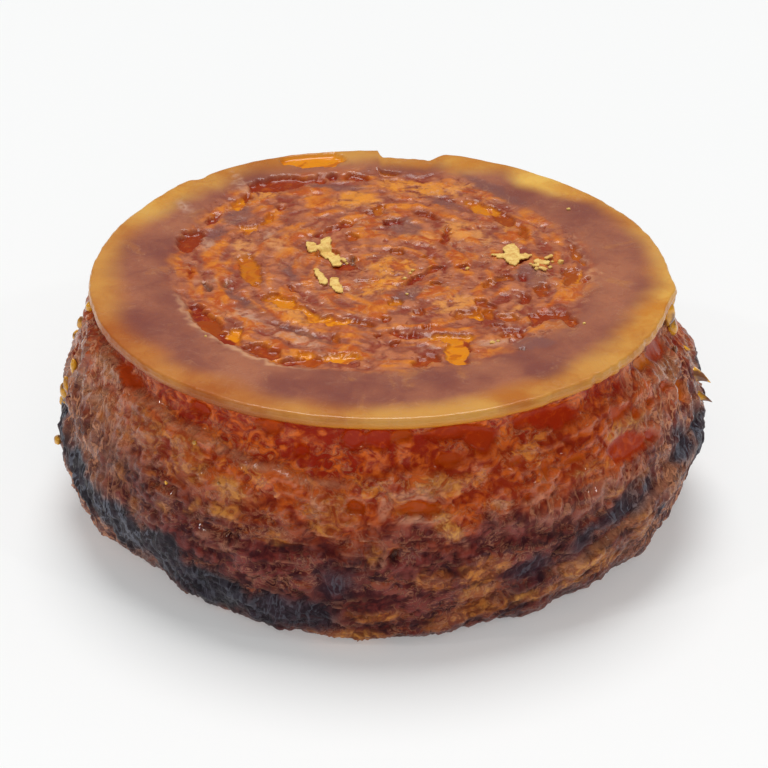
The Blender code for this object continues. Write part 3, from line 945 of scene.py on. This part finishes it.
LIGHT = (
    (-4.0, 25.8, 3.0, 2.4, 20, 1.0),
    (5.2, 30.0, 5.0, 2.3, -22, 1.0),
    (8.2, 27.6, 2.0, 1.0, -60, 1.0),
    (12.4, 29.2, 2.4, 2.0, -20, 0.8),
    (11.7, 15.6, 3.2, 1.6, -60, 0.8),
    (15.0, 13.4, 2.0, 1.0, -60, 0.7),
    (19.2, 17.0, 1.9, 0.9, 90, 0.9),
    (-26.0, 11.2, 1.4, 0.7, -80, 0.0),
    (-16.6, 13.8, 1.3, 0.3, -80, 0.0),
    (-25.0, -0.6, 2.0, 0.5, 10, 0.2),
    (-19.0, -11.2, 4.6, 0.7, -40, 0.0),
    (-12.6, -17.2, 4.0, 0.9, -45, 0.0),
    (-9.0, -20.6, 1.8, 0.8, -60, 0.0),
    (16.0, -19.6, 1.6, 0.6, 10, 0.1),
    (7.0, -21.2, 1.3, 1.0, 0, 0.0),
    (19.8, -9.6, 1.6, 0.7, 60, 0.8),
    (-21.4, 31.1, 2.2, 1.1, -75, 0.0),
    (-29.3, 22.7, 1.7, 0.8, -75, 0.0),
    (30.0, 7.2, 2.6, 0.3, 105, 0.1),
    (31.2, 0.4, 1.4, 0.4, -80, 0.3),
    (1.8, 4.0, 3.0, 2.6, 0, 1.0),
    (1.0, -1.5, 2.6, 2.0, 0, 1.0),
    (-1.3, -3.2, 2.6, 1.0, 30, 1.0),
    (-13.5, -9.0, 2.6, 1.2, -50, 0.9),
    (-11.5, -12.6, 2.0, 1.0, -60, 0.9),
    (6.5, 12.5, 2.0, 1.2, -40, 0.7),
    (-15.5, 11.5, 2.0, 0.9, -80, 0.6),
    (-20.5, 10.5, 3.0, 1.2, 85, 0.7),
    (-17.5, 27.4, 2.6, 1.2, 20, 0.9),
    (10.5, -8.0, 3.0, 2.0, 40, 0.8),
)
DARK = (
    (1.6, 17.9, 0.6, 0.5, 0, 1.0),
    (3.1, 17.9, 0.5, 0.5, 0, 1.0),
    (-3.9, 6.1, 0.7, 0.6, 0, 1.0),
    (-25.1, -2.1, 1.0, 0.35, -70, 0.8),
    (-22.2, -1.6, 1.2, 0.4, -75, 0.7),
    (-21.3, -4.0, 1.3, 0.35, -65, 0.7),
    (-11.5, -15.8, 4.0, 0.5, -38, 0.4),
    (-20.0, -6.0, 5.0, 0.6, -55, 0.2),
    (20.4, -21.5, 0.6, 0.3, 0, 1.0),
    (21.5, -20.0, 2.5, 1.6, 0, 0.0),
    (4.5, -4.8, 3.0, 1.2, 40, 0.1),
    (22.0, 0.8, 3.4, 2.0, -75, 0.05),
    (3.8, 16.6, 3.0, 2.0, -60, 0.05),
    (-21.5, 20.5, 3.0, 1.6, 65, 0.05),
    (-24.6, 14.5, 3.0, 0.9, 80, 0.05),
    (-7.0, 30.2, 4.4, 1.0, -3, 0.05),
    (10.0, 24.3, 3.0, 1.2, -40, 0.05),
    (17.6, 28.4, 6.0, 1.1, -50, 0.1),
    (-13.2, 1.8, 2.4, 0.8, -82, 0.1),
)


def on_scale(rows):
    """Laid-out rows at the disc's size: places to a tenth of a millimetre, half-sizes to a hundredth."""
    for x, y, half_long, half_wide, *rest in rows:
        place = [round(v * LAYOUT_SCALE, 1) for v in (x, y)]
        halves = [round(v * LAYOUT_SCALE, 2) for v in (half_long, half_wide)]
        yield (*place, *halves, *rest)


CLEAR_AT = Patches(0.22, on_scale(CLEAR))
LIGHT_AT = Patches(0.8, on_scale(LIGHT))
DARK_AT = Patches(0.5, on_scale(DARK))
SPIRAL_PITCH = 5.6
SPIRAL_AT = (1.5, 2.5)
print(len(CLEAR), "pockets of clear caramel")


# %% The roll's streaks
def streak(x, y, size, seed):
    """Noise drawn out along a spiral, so that it looks like turns of rolled dough."""
    x, y = x - SPIRAL_AT[0], y - SPIRAL_AT[1]
    radius = math.hypot(x, y)
    angle = math.degrees(math.atan2(y, x))
    rise = radius - SPIRAL_PITCH * angle / 360.0
    flat = Vector((x / 4.5, y / 4.5, 0.0))
    here = noise.noise(flat + Vector((seed, seed, rise / size)))
    join = ease(130.0, 180.0, angle)
    if join > 0.0:
        there = noise.noise(flat + Vector((seed, seed, (rise + SPIRAL_PITCH) / size)))
        here += (there - here) * join
    return here


# %% The disc's rim
CHIP_FROM, CHIP_TO, CHIP = 77.0, 90.5, 2.5


def rim_out(angle, height):
    """How far the rim stands out of its circle: chips, a spur, a swell and a ruffled stretch."""
    around = stretched(angle, DISC_RADIUS, 0.0, 1, 1)
    layered = stretched(angle, DISC_RADIUS, height, 1, 1)
    out = 0.16 * rough(around, 4.0, 2.3) + 0.1 * rough(layered, 1.1, 5.3)
    if CHIP_FROM - 2.0 < angle < CHIP_TO + 1.0:
        chip = ease(CHIP_FROM - 1.0, CHIP_FROM + 2.5, angle) - ease(CHIP_TO - 0.8, CHIP_TO, angle)
        out -= chip * (CHIP + 0.5 * rough(layered, 1.4, 1.3))
    out += 0.8 * hump(angle, -4.0, 4.5) + 0.8 * hump(angle, 118.0, 20.0)
    out += 0.5 * ease(131.0, 132.5, angle) * (1 - ease(132.5, 150, angle)) - 0.4 * hump(angle, 129.8, 1.6)
    out += 0.45 * hump(angle, -38.0, 18.0) * rough(around, 1.5, 9.3) - 0.6 * hump(angle, 45.0, 22.0)
    return out


# %% The disc's surface
DISC_MASKS = (
    "brim", "honey_and_painted_glow", "roll", "pocket", "bright", "light", "warm", "shadow", "black", "layer", "side", "painted_sheen",
    "step_edge", "relief",
)


def shape_disc(body, marks):
    """Moves every vertex of the turned disc to its place and writes its masks."""
    underside = TOP - DISC_THICK
    for v in body.verts:
        x, y, height = v.co
        radius = math.hypot(x, y)
        angle = math.degrees(math.atan2(y, x))
        p = Vector((x, y, height))
        bend_x = 0.75 * rough(p, 2.2, 31.7) + 0.6 * rough(p, 0.9, 38.3)
        bend_y = 0.75 * rough(p, 2.2, 1.7) + 0.6 * rough(p, 0.9, 8.3)
        edge = ease(0.7 * DISC_RADIUS, DISC_RADIUS, radius)
        top_half = ease(underside + 0.5 * DISC_THICK, TOP, height)
        on_face = top_half * (1.0 - ease(DISC_RADIUS - 0.9, DISC_RADIUS, radius))
        cloud = rough(p, 9.0, 3.3) + 0.5 * rough(p, 4.0, 5.3)
        brim_from = DISC_RADIUS - BRIM(angle, 1)
        brim = ease(brim_from - 2.6, brim_from + 2.2, radius + 1.3 * cloud)
        roll_to = ROLL(angle, 1) + 0.5 * rough(p, 5.0, 2.9)
        sharp = ROLL(angle, 2)
        soft = 0.35 + 3.0 * (1.0 - sharp)
        roll = 1.0 - ease(roll_to - soft, roll_to + soft, radius + bend_x)
        pocket, bright = CLEAR_AT(x + bend_x, y + bend_y)
        light, warm = LIGHT_AT(x + 1.6 * bend_x, y + 1.6 * bend_y)
        shadow, black = DARK_AT(x + bend_x, y + bend_y)
        layer = streak(x + bend_x, y + bend_y, 2.2, 3.0) + 0.45 * streak(x, y, 0.8, 13.0)
        bits = crusty(p, 2.0, 2.0) - 0.37
        step_edge = math.exp(-(((radius + bend_x - roll_to - 0.5) / 0.4) ** 2)) * max(0.0, sharp - 0.7) / 0.3
        lift = 0.06 * cloud - (0.2 + 0.35 * sharp) * roll
        lift += roll * (0.2 * layer + 0.24 * bits)
        lift += 0.1 * step_edge
        lift = lift * (1.0 - 0.6 * pocket) - (0.5 + 0.4 * sharp) * pocket - 0.9 * shadow * black
        out = rim_out(angle, height) * edge
        ridge = 0.14 * math.exp(-(((height - underside - 0.55 * DISC_THICK) / 0.22) ** 2))
        out += ridge * ease(DISC_RADIUS - 0.5, DISC_RADIUS, radius)
        turn = math.radians(angle)
        reach = radius + out
        v.co = (reach * math.cos(turn), reach * math.sin(turn), min(TOP, height + lift * on_face))
        values = (
            brim,
            BRIM(angle, 2),
            roll,
            pocket * on_face,
            bright,
            light * on_face,
            warm,
            shadow * on_face,
            black,
            0.5 + 0.5 * layer,
            (1.0 - ease(underside + 0.2, TOP - 0.5, height)) * ease(36.0, 40.5, radius),
            # Painted sheen: how much reflected light greys the ring towards mauve.
            0.5 + 0.45 * cloud + 0.12 * hump(angle, 30.0, 55.0),
            step_edge * on_face,
            0.5 + bits,
        )
        for name, value in zip(DISC_MASKS, values):
            v[marks[name]] = value


# %% [markdown]
# ## Caramel over rolled dough
#
# The brim is caramel alone, so light goes in and comes out amber; that glow is painted into
# its colour. Further in, dough clouds it to a brown, and a painted sheen of reflected light
# gives it a touch of mauve, lighter towards the right. In the roll, tan and orange turns lie
# side by side with dark red seams, with painted highlights on their fine wrinkles. The whole
# face set against smooth metal, so it is glossy, with fine scuffs.


# %% Paint for the disc
def caramel_paint():
    paint = Paint("caramel_over_dough")
    wide = paint.grain(12.0, 2.0, 0.45, 0.4)
    cloud = paint.grain(6.0, 4.0, 0.6, 0.5)
    mottle = paint.grain(1.7, 4.0, 0.65, 0.9)
    curls = paint.grain(3.2, 4.0, 0.55, 1.1)
    speck = paint.grain(0.5, 3.0, 0.6)
    painted_sheen = paint.mask("painted_sheen")
    layer = paint.mask("layer")
    rolled = paint.mask("roll")
    pocket = paint.mask("pocket")
    wrinkle = paint.lines(curls, 0.0005) * paint.step(cloud, 0.48, 0.62)
    # Painted sheen: the ring goes from brown to a paler mauve where reflected light is painted in.
    painted_sheen_share = paint.step(painted_sheen * 0.5 + wide * 0.4 + curls * 0.3, 0.42, 0.8)
    ring = paint.mix(shade(138, 76, 64), shade(178, 110, 80), painted_sheen_share)
    ring = paint.mix(ring, shade(192, 122, 68), paint.step(cloud, 0.56, 0.7) * 0.5)
    ring = paint.mix(ring, shade(142, 70, 50), paint.step(mottle * 0.6 + curls * 0.4, 0.5, 0.66) * 0.35)
    uneven = wide * 0.8 + mottle * 0.2
    amber = paint.mix(shade(168, 82, 32), shade(194, 114, 52), paint.step(uneven, 0.36, 0.64))
    # Pale amber where the brim is bright: partly the caramel's own colour, partly a painted glow of light
    # shining through it.
    honey_and_painted_glow = paint.mix(shade(212, 136, 46), shade(242, 192, 92), paint.step(uneven, 0.36, 0.66))
    brim = paint.mix(amber, honey_and_painted_glow, paint.mask("honey_and_painted_glow"))
    colour = paint.mix(ring, brim, paint.mask("brim"))
    dry = paint.step(curls * 0.7 + paint.mask("relief") * 0.3, 0.36, 0.7)
    tan = paint.mix(shade(152, 78, 54), shade(198, 118, 78), dry)
    soaked = paint.step(curls * 0.7 + mottle * 0.3, 0.38, 0.64)
    orange = paint.mix(shade(190, 82, 16), shade(230, 136, 38), soaked)
    turns = paint.mix(tan, orange, paint.step(layer * 0.9 + cloud * 0.5, 0.62, 0.92))
    seams = paint.step(1 - layer + mottle * 0.3 - paint.mask("relief") * 0.3, 0.62, 0.84)
    turns = paint.mix(turns, shade(146, 44, 18), seams * 0.65)
    nicks = paint.step(0.4 - mottle, 0.0, 0.05) * paint.step(0.5 - layer, -0.1, 0.1)
    turns = paint.mix(turns, shade(146, 38, 8), nicks * 0.7)
    colour = paint.mix(colour, turns, rolled)
    # Pale peach where a patch isn't warm is a painted sheen; the warm ones are orange dough.
    tone = paint.mix(shade(208, 160, 134), shade(240, 152, 46), paint.mask("warm"))
    grainy = paint.step(mottle * 0.5 + curls * 0.5, 0.4, 0.56)
    colour = paint.mix(colour, tone, paint.mask("light") * grainy * 0.85)
    # Painted shade: darker mauve patches, and black in the small sunken hollows.
    tone = paint.mix(shade(138, 86, 78), shade(28, 12, 10), paint.mask("black"))
    colour = paint.mix(colour, tone, paint.mask("shadow") * 0.8)
    # Painted highlights: pale lines along the fine wrinkles.
    colour = paint.mix(colour, shade(226, 168, 132), wrinkle * (0.12 + 0.28 * rolled))
    clear = paint.mix(shade(142, 32, 6), shade(238, 146, 8), paint.step(paint.mask("bright"), 0.0, 1.0))
    clear = paint.mix(clear, shade(228, 122, 20), paint.step(mottle * 0.6 + curls * 0.4, 0.5, 0.64) * 0.45)
    clear = paint.mix(clear, shade(168, 52, 6), paint.step(curls, 0.5, 0.62) * 0.5)
    colour = paint.mix(colour, clear, pocket * 0.97)
    # Painted highlight: a pale line along the raised edge of the roll.
    colour = paint.mix(colour, shade(236, 180, 136), paint.mask("step_edge") * 0.6)
    # The disc's edge is painted bright yellow-orange where the brim is bright: a painted glow of light
    # through the caramel.
    side = paint.mix(shade(160, 78, 26), shade(210, 130, 26), paint.step(paint.mask("honey_and_painted_glow"), 0.1, 0.5))
    colour = paint.mix(colour, side, paint.mask("side") * 0.9)
    scuff = paint.grain(0.9, 2.0, 0.5, 1.5, (1.0, 0.35, 1.0))
    height = speck * 0.2 + mottle * 0.5 + curls * 0.4 + wrinkle * 0.15 - nicks * 0.3
    height *= 0.25 + 0.75 * rolled
    normal = paint.bump((height + scuff * 0.2) * (1 - pocket * 0.8), 0.34, 0.8)
    paint.set(Base_Color=colour, Roughness=0.24 + 0.14 * mottle - 0.12 * pocket, Normal=normal)
    coat = paint.step(cloud + mottle * 0.4, 0.5, 0.8) * 0.35 * (1 - paint.mask("side")) + 0.05
    paint.set(Coat_Weight=coat, Coat_Roughness=0.08)
    paint.set(IOR=1.5, Specular_IOR_Level=0.2, Subsurface_Weight=0.06)
    paint.set(Subsurface_Radius=(1.0, 0.42, 0.12), Subsurface_Scale=1.0 * MM)
    return paint.material


# %% Make the disc
DISC_COLUMNS, FACE_STEP, SIDE_STEP = 640, 0.31, 0.16
BEVEL = 0.35
rim = [
    (DISC_RADIUS - BEVEL, TOP),
    (DISC_RADIUS - 0.1, TOP - 0.1),
    (DISC_RADIUS, TOP - BEVEL),
    (DISC_RADIUS, TOP - DISC_THICK + BEVEL),
    (DISC_RADIUS - BEVEL, TOP - DISC_THICK),
]
disc_profile = [Vector((0.0, TOP))]
disc_profile += straight(disc_profile[0], rim[0], FACE_STEP)
disc_profile += [Vector(rim[1]), Vector(rim[2])]
disc_profile += straight(rim[2], rim[3], SIDE_STEP)
disc_profile += [Vector(rim[4])]
disc_profile += straight(rim[4], (0.0, TOP - DISC_THICK), HIDDEN_STEP)
disc_body = turn_body(disc_profile, DISC_COLUMNS)
shape_disc(disc_body, masks_of(disc_body, DISC_MASKS))
disc = make_piece("caramel_sheet", disc_body, caramel_paint())
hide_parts("caramel_disc")

# %% [markdown]
# ## Flakes, crumbs and drips
#
# A few flakes of dry crust have fallen on the disc, and some crumbs. Each flake is cut out of
# a fine grid, where its strokes run, and thickened. Crumbs are small broken balls. Down the
# sides caramel has run out and set in beads, and has pulled into points, most on the right. All
# of them are set on the surface by dropping a line onto it.

# %% Find the surface
def surface_of(piece):
    corners = [piece.matrix_world @ v.co / MM - AXIS / MM for v in piece.data.vertices]
    return BVHTree.FromPolygons(corners, [tuple(face.vertices) for face in piece.data.polygons])


bpy.context.view_layer.update()
disc_surface, wall_surface = surface_of(disc), surface_of(wall)


def on_disc(x, y):
    return disc_surface.ray_cast(Vector((x, y, TOP + 5.0)), Vector((0, 0, -1)))[0]


def on_wall(angle, height):
    outward = Vector((math.cos(math.radians(angle)), math.sin(math.radians(angle)), 0.0))
    return wall_surface.ray_cast(Vector((0, 0, height)) + 60.0 * outward, -outward)[0]


print("disc height at the star:", round(on_disc(18.8, 8.7).z, 2), "mm")
print("wall at the front:", round(-on_wall(-90, 20).y, 2), "mm")

# %% Flakes of crust
# Each flake is strokes of (x, y, x, y, width) in mm.
FLAKES = (
    (
        (-10.0, 10.6, -9.7, 8.8, 1.7), (-7.9, 11.8, -7.9, 9.5, 1.7), (-9.6, 9.0, -7.6, 9.2, 1.2),
        (-8.0, 8.8, -6.7, 6.5, 2.0), (-6.7, 6.5, -6.3, 5.2, 1.8), (-6.6, 6.4, -5.0, 6.1, 0.9),
    ),
    ((-9.1, 2.6, -8.8, 0.8, 1.0), (-8.7, 0.8, -8.0, -1.2, 1.4)),
    ((-6.5, -0.3, -6.6, -1.6, 1.4), (-6.3, -1.7, -5.8, -3.4, 1.6)),
    (
        (18.9, 9.6, 19.3, 8.4, 1.3), (18.9, 8.6, 19.1, 5.6, 2.4), (16.2, 6.7, 21.8, 6.7, 0.5),
        (17.3, 6.6, 20.9, 6.6, 1.6), (19.1, 6.0, 19.3, 4.2, 1.5),
    ),
    ((22.5, 4.9, 24.0, 4.4, 1.1), (22.0, 3.6, 22.6, 3.9, 0.9)),
    ((24.0, 5.8, 24.5, 6.3, 1.0), (23.1, 2.7, 23.5, 2.2, 0.9)),
)


def in_flake(strokes, x, y):
    """How far inside the flake's outline a place is, in millimetres."""
    inside = -1.0
    for x1, y1, x2, y2, width in strokes:
        along = Vector((x2 - x1, y2 - y1))
        share = ((x - x1) * along.x + (y - y1) * along.y) / along.length_squared
        nearest = Vector((x1, y1)) + along * min(1.0, max(0.0, share))
        inside = max(inside, 0.5 * width - math.hypot(x - nearest.x, y - nearest.y))
    return inside + 0.22 * rough(Vector((x, y, 3.0)), 0.7, 5.0)


def add_flake(body, strokes, cell=0.16, thick=0.22):
    """Cuts one flake out of a grid, curls it a little and makes it thick."""
    xs = [v for stroke in strokes for v in (stroke[0], stroke[2])]
    ys = [v for stroke in strokes for v in (stroke[1], stroke[3])]
    wide, deep = max(xs) - min(xs) + 4.0, max(ys) - min(ys) + 4.0
    middle = Vector(((max(xs) + min(xs)) / 2, (max(ys) + min(ys)) / 2, 0.0))
    count_x, count_y = round(wide / cell), round(deep / cell)
    stretch = Matrix.Translation(middle) @ Matrix.Diagonal((wide, deep, 1.0, 1.0))
    made = bmesh.ops.create_grid(body, x_segments=count_x, y_segments=count_y, size=0.5, matrix=stretch)
    grid = made["verts"]
    outside = [v for v in grid if in_flake(strokes, v.co.x, v.co.y) < 0.0]
    bmesh.ops.delete(body, geom=outside, context="VERTS")
    sheet = [v for v in grid if v.is_valid]
    base = on_disc(middle.x, middle.y).z
    for v in sheet:
        curl = 0.3 * rough(v.co, 2.2, 7.0) + 0.1 * rough(v.co, 0.7, 9.0)
        v.co.z = max(base, on_disc(v.co.x, v.co.y).z) + 0.25 + curl
    faces = [face for face in body.faces if face.verts[0] in set(sheet)]
    bmesh.ops.solidify(body, geom=faces, thickness=thick)


flake_body = bmesh.new()
for strokes in FLAKES:
    add_flake(flake_body, strokes)
loose = [v for v in flake_body.verts if not v.link_faces]
bmesh.ops.delete(flake_body, geom=loose, context="VERTS")
bmesh.ops.recalc_face_normals(flake_body, faces=flake_body.faces)


# %% Crumbs
CRUMBS = (
    (25.9, 4.9, 0.5), (22.4, 2.9, 0.35), (24.4, 3.4, 0.3), (12.5, 2.8, 0.3), (4.7, 2.1, 0.3),
    (4.3, 1.4, 0.25), (3.5, -0.4, 0.35), (3.8, -4.8, 0.25), (28.5, -14.3, 0.25), (27.7, 21.2, 0.3),
    (15.6, -19.4, 0.35), (16.4, -19.0, 0.25), (24.8, 5.0, 0.25), (21.6, 4.2, 0.2), (-24.2, -18.0, 0.2),
    (-4.8, 5.6, 0.25),
)


def add_lump(body, place, size, stretch=(1.0, 1.0, 1.0), uneven=0.25):
    """A small uneven ball: size is its radius."""
    scale = Matrix.Diagonal((*[size * s for s in stretch], 1.0))
    matrix = Matrix.Translation(place) @ scale
    for v in bmesh.ops.create_icosphere(body, subdivisions=3, radius=1.0, matrix=matrix)["verts"]:
        v.co += (v.co - Vector(place)) * uneven * rough(v.co, 0.8 * size, place[0])


for x, y, size in CRUMBS:
    add_lump(flake_body, on_disc(x, y) + Vector((0, 0, 0.3 * size)), size, (1.0, 0.8, 0.7), 0.5)
add_lump(flake_body, Vector((1.4, 37.9, TOP - 0.9)), 0.8, (1.1, 0.6, 0.6), 0.5)


def crust_paint():
    paint = Paint("dry_crust")
    mottle = paint.grain(0.8, 4.0, 0.6)
    speck = paint.grain(0.25, 3.0, 0.6)
    baked = paint.step(mottle * 0.6 + speck * 0.4, 0.36, 0.6)
    colour = paint.mix(shade(222, 164, 76), shade(248, 212, 120), baked)
    normal = paint.bump(speck * 0.5 + mottle * 0.5, 0.1, 0.7)
    paint.set(Base_Color=colour, Roughness=0.55 + 0.2 * speck, Normal=normal)
    return paint.material


flakes = make_piece("crust_flakes", flake_body, crust_paint())


# %% Beads and points of caramel
# Beads: angle, height, radius and how much taller than wide, in mm.
BEADS = (
    (-178, 17.2, 0.9, 1.5), (177, 13.4, 0.75, 1.2), (-176, 31.6, 0.8, 1.3), (179, 27.0, 0.7, 1.6),
    (-172, 21.0, 0.5, 2.2), (-170, 24.5, 0.5, 2.6), (-175, 10.5, 0.6, 1.2), (172, 22.0, 0.7, 1.4),
    (-5, 31.0, 1.2, 1.6), (0, 31.6, 1.3, 1.3), (-3, 28.0, 1.0, 1.5), (4, 29.0, 1.0, 1.4),
    (-10, 27.0, 0.4, 2.0), (60, 27.0, 0.7, 1.8), (118, 29.0, 0.8, 1.5), (150, 25.0, 0.6, 1.8),
    (-119.5, 23.5, 0.25, 1.0), (-131.0, 20.7, 0.25, 1.2), (-126.0, 27.6, 0.3, 1.2),
)
# Points: angle and height of the root, length, width at the root, and rise at the tip.
SPIKES = (
    (-5, 21.3, 2.9, 2.6, -1.3), (-6, 18.3, 2.7, 2.0, -1.0), (-2, 24.2, 1.4, 1.2, -0.3),
    (-178, 15.2, 1.2, 0.9, 0.2), (110, 20.0, 1.6, 1.2, -0.5),
)
bead_body = bmesh.new()
for angle, height, size, tall in BEADS:
    outward = Vector((math.cos(math.radians(angle)), math.sin(math.radians(angle)), 0.0))
    add_lump(bead_body, on_wall(angle, height) + 0.4 * size * outward, size, (1.0, 1.0, tall), 0.2)
for angle, height, long, width, rise in SPIKES:
    outward = Vector((math.cos(math.radians(angle)), math.sin(math.radians(angle)), 0.0))
    root = on_wall(angle, height) - 0.6 * outward
    aimed = outward.to_track_quat("Z", "X").to_matrix().to_4x4()
    turned = Matrix.Translation(root + outward * long / 2) @ aimed
    cone_body = bmesh.new()
    bmesh.ops.create_cone(
        cone_body, cap_ends=True, segments=12, radius1=width / 2, radius2=0.08, depth=long, matrix=turned
    )
    sides = [edge for edge in cone_body.edges if len({len(face.verts) for face in edge.link_faces}) == 1]
    bmesh.ops.subdivide_edges(cone_body, edges=sides, cuts=4, use_grid_fill=True)
    for v in cone_body.verts:
        out = (v.co - root).dot(outward)
        v.co += Vector((0, 0, rise * max(0.0, out / long) ** 2)) + 0.12 * outward * rough(v.co, 0.6, 4.0)
    cone_mesh = bpy.data.meshes.new("point")
    cone_body.to_mesh(cone_mesh)
    cone_body.free()
    bead_body.from_mesh(cone_mesh)
    bpy.data.meshes.remove(cone_mesh)
bmesh.ops.recalc_face_normals(bead_body, faces=bead_body.faces)


def bead_paint():
    paint = Paint("set_caramel")
    mottle = paint.grain(2.2, 2.0, 0.5)
    colour = paint.mix(shade(128, 78, 46), shade(244, 176, 40), paint.step(mottle, 0.38, 0.58))
    paint.set(Base_Color=colour, Roughness=0.14 + 0.1 * mottle, Normal=paint.bump(mottle, 0.12, 0.5))
    paint.set(Coat_Weight=0.6, Coat_Roughness=0.05, IOR=1.5)
    return paint.material


beads = make_piece("caramel_beads", bead_body, bead_paint())

# %% [markdown]
# ## Floor, light and camera
#
# The pastry stands on a plain white sweep in a tent of soft light. A very wide sun, high and a
# little behind, lights the floor evenly and throws the soft shadow forwards. A large weak panel
# in front opens up the wall, and two small lamps at the sides put points of light on the wet
# caramel. The tent is dark in the gloss, so that the red of the neck isn't washed out.

# %% Floor and world
floor_body = bmesh.new()
bmesh.ops.create_circle(floor_body, cap_ends=True, radius=6.0, segments=96)
floor_mesh = bpy.data.meshes.new("floor")
floor_body.to_mesh(floor_mesh)
floor_body.free()
floor = bpy.data.objects.new("floor", floor_mesh)
bpy.context.scene.collection.objects.link(floor)
floor_paint = Paint("white_paper")
floor_paint.set(Base_Color=(0.70, 0.708, 0.705, 1.0), Roughness=0.7, Specular_IOR_Level=0.0)
floor_paint.set(Emission_Color=(1.0, 1.0, 1.0, 1.0), Emission_Strength=0.265)
floor_mesh.materials.append(floor_paint.material)

scene = bpy.context.scene
scene.view_settings.view_transform = "Standard"
world = bpy.data.worlds.new("tent")
scene.world = world
world.use_nodes = True
SKY, SKY_SEEN, SKY_IN_GLOSS = 0.32, 0.9, 0.14
sky_nodes = world.node_tree.nodes
kind_of_ray = sky_nodes.new("ShaderNodeLightPath")
strength = SKY
for ray, wanted in (("Is Camera Ray", SKY_SEEN), ("Is Glossy Ray", SKY_IN_GLOSS)):
    change = sky_nodes.new("ShaderNodeMath")
    change.operation = "MULTIPLY_ADD"
    change.inputs[1].default_value = wanted - SKY
    change.inputs[2].default_value = SKY
    world.node_tree.links.new(kind_of_ray.outputs[ray], change.inputs[0])
    if strength is not SKY:
        world.node_tree.links.new(strength, change.inputs[2])
    strength = change.outputs[0]
sky_nodes["Background"].inputs["Color"].default_value = (1.0, 1.0, 1.0, 1.0)
world.node_tree.links.new(strength, sky_nodes["Background"].inputs["Strength"])


# %% Lights and camera
def lamp(name, kind, energy, place, towards, **settings):
    light = bpy.data.lights.new(name, kind)
    light.energy = energy
    for setting, value in settings.items():
        setattr(light, setting, value)
    holder = bpy.data.objects.new(name, light)
    bpy.context.scene.collection.objects.link(holder)
    holder.location = place
    holder.rotation_euler = (Vector(place) - Vector(towards)).to_track_quat("Z", "Y").to_euler()
    return holder


lamp("wide_sun", "SUN", 1.94, (0.0, 0.36, 0.97), (0, 0, 0.02), angle=0.6)
lamp("front_fill", "AREA", 1.5, (0.0, -1.0, 0.55), (0, 0, 0.02), size=0.7)
lamp("left_glint", "AREA", 0.5, (-0.7, -0.35, 0.75), (0, 0, 0.02), size=0.045)
lamp("right_glint", "AREA", 0.4, (0.65, -0.45, 0.7), (0, 0, 0.02), size=0.045)

EYE_FAR, EYE_UP = 600 * MM, 29.05
AIM = Vector((-0.129, 0.0, 17.465)) * MM
SENSOR, LENS = 36.0, 194.42
camera_data = bpy.data.cameras.new("camera")
camera_data.sensor_width = SENSOR
camera_data.lens = LENS
camera = bpy.data.objects.new("camera", camera_data)
scene.collection.objects.link(camera)
up = math.radians(EYE_UP)
camera.location = AIM + EYE_FAR * Vector((0.0, -math.cos(up), math.sin(up)))
camera.rotation_euler = (math.pi / 2 - up, 0.0, 0.0)
scene.camera = camera
print("camera", [round(v, 3) for v in camera.location])
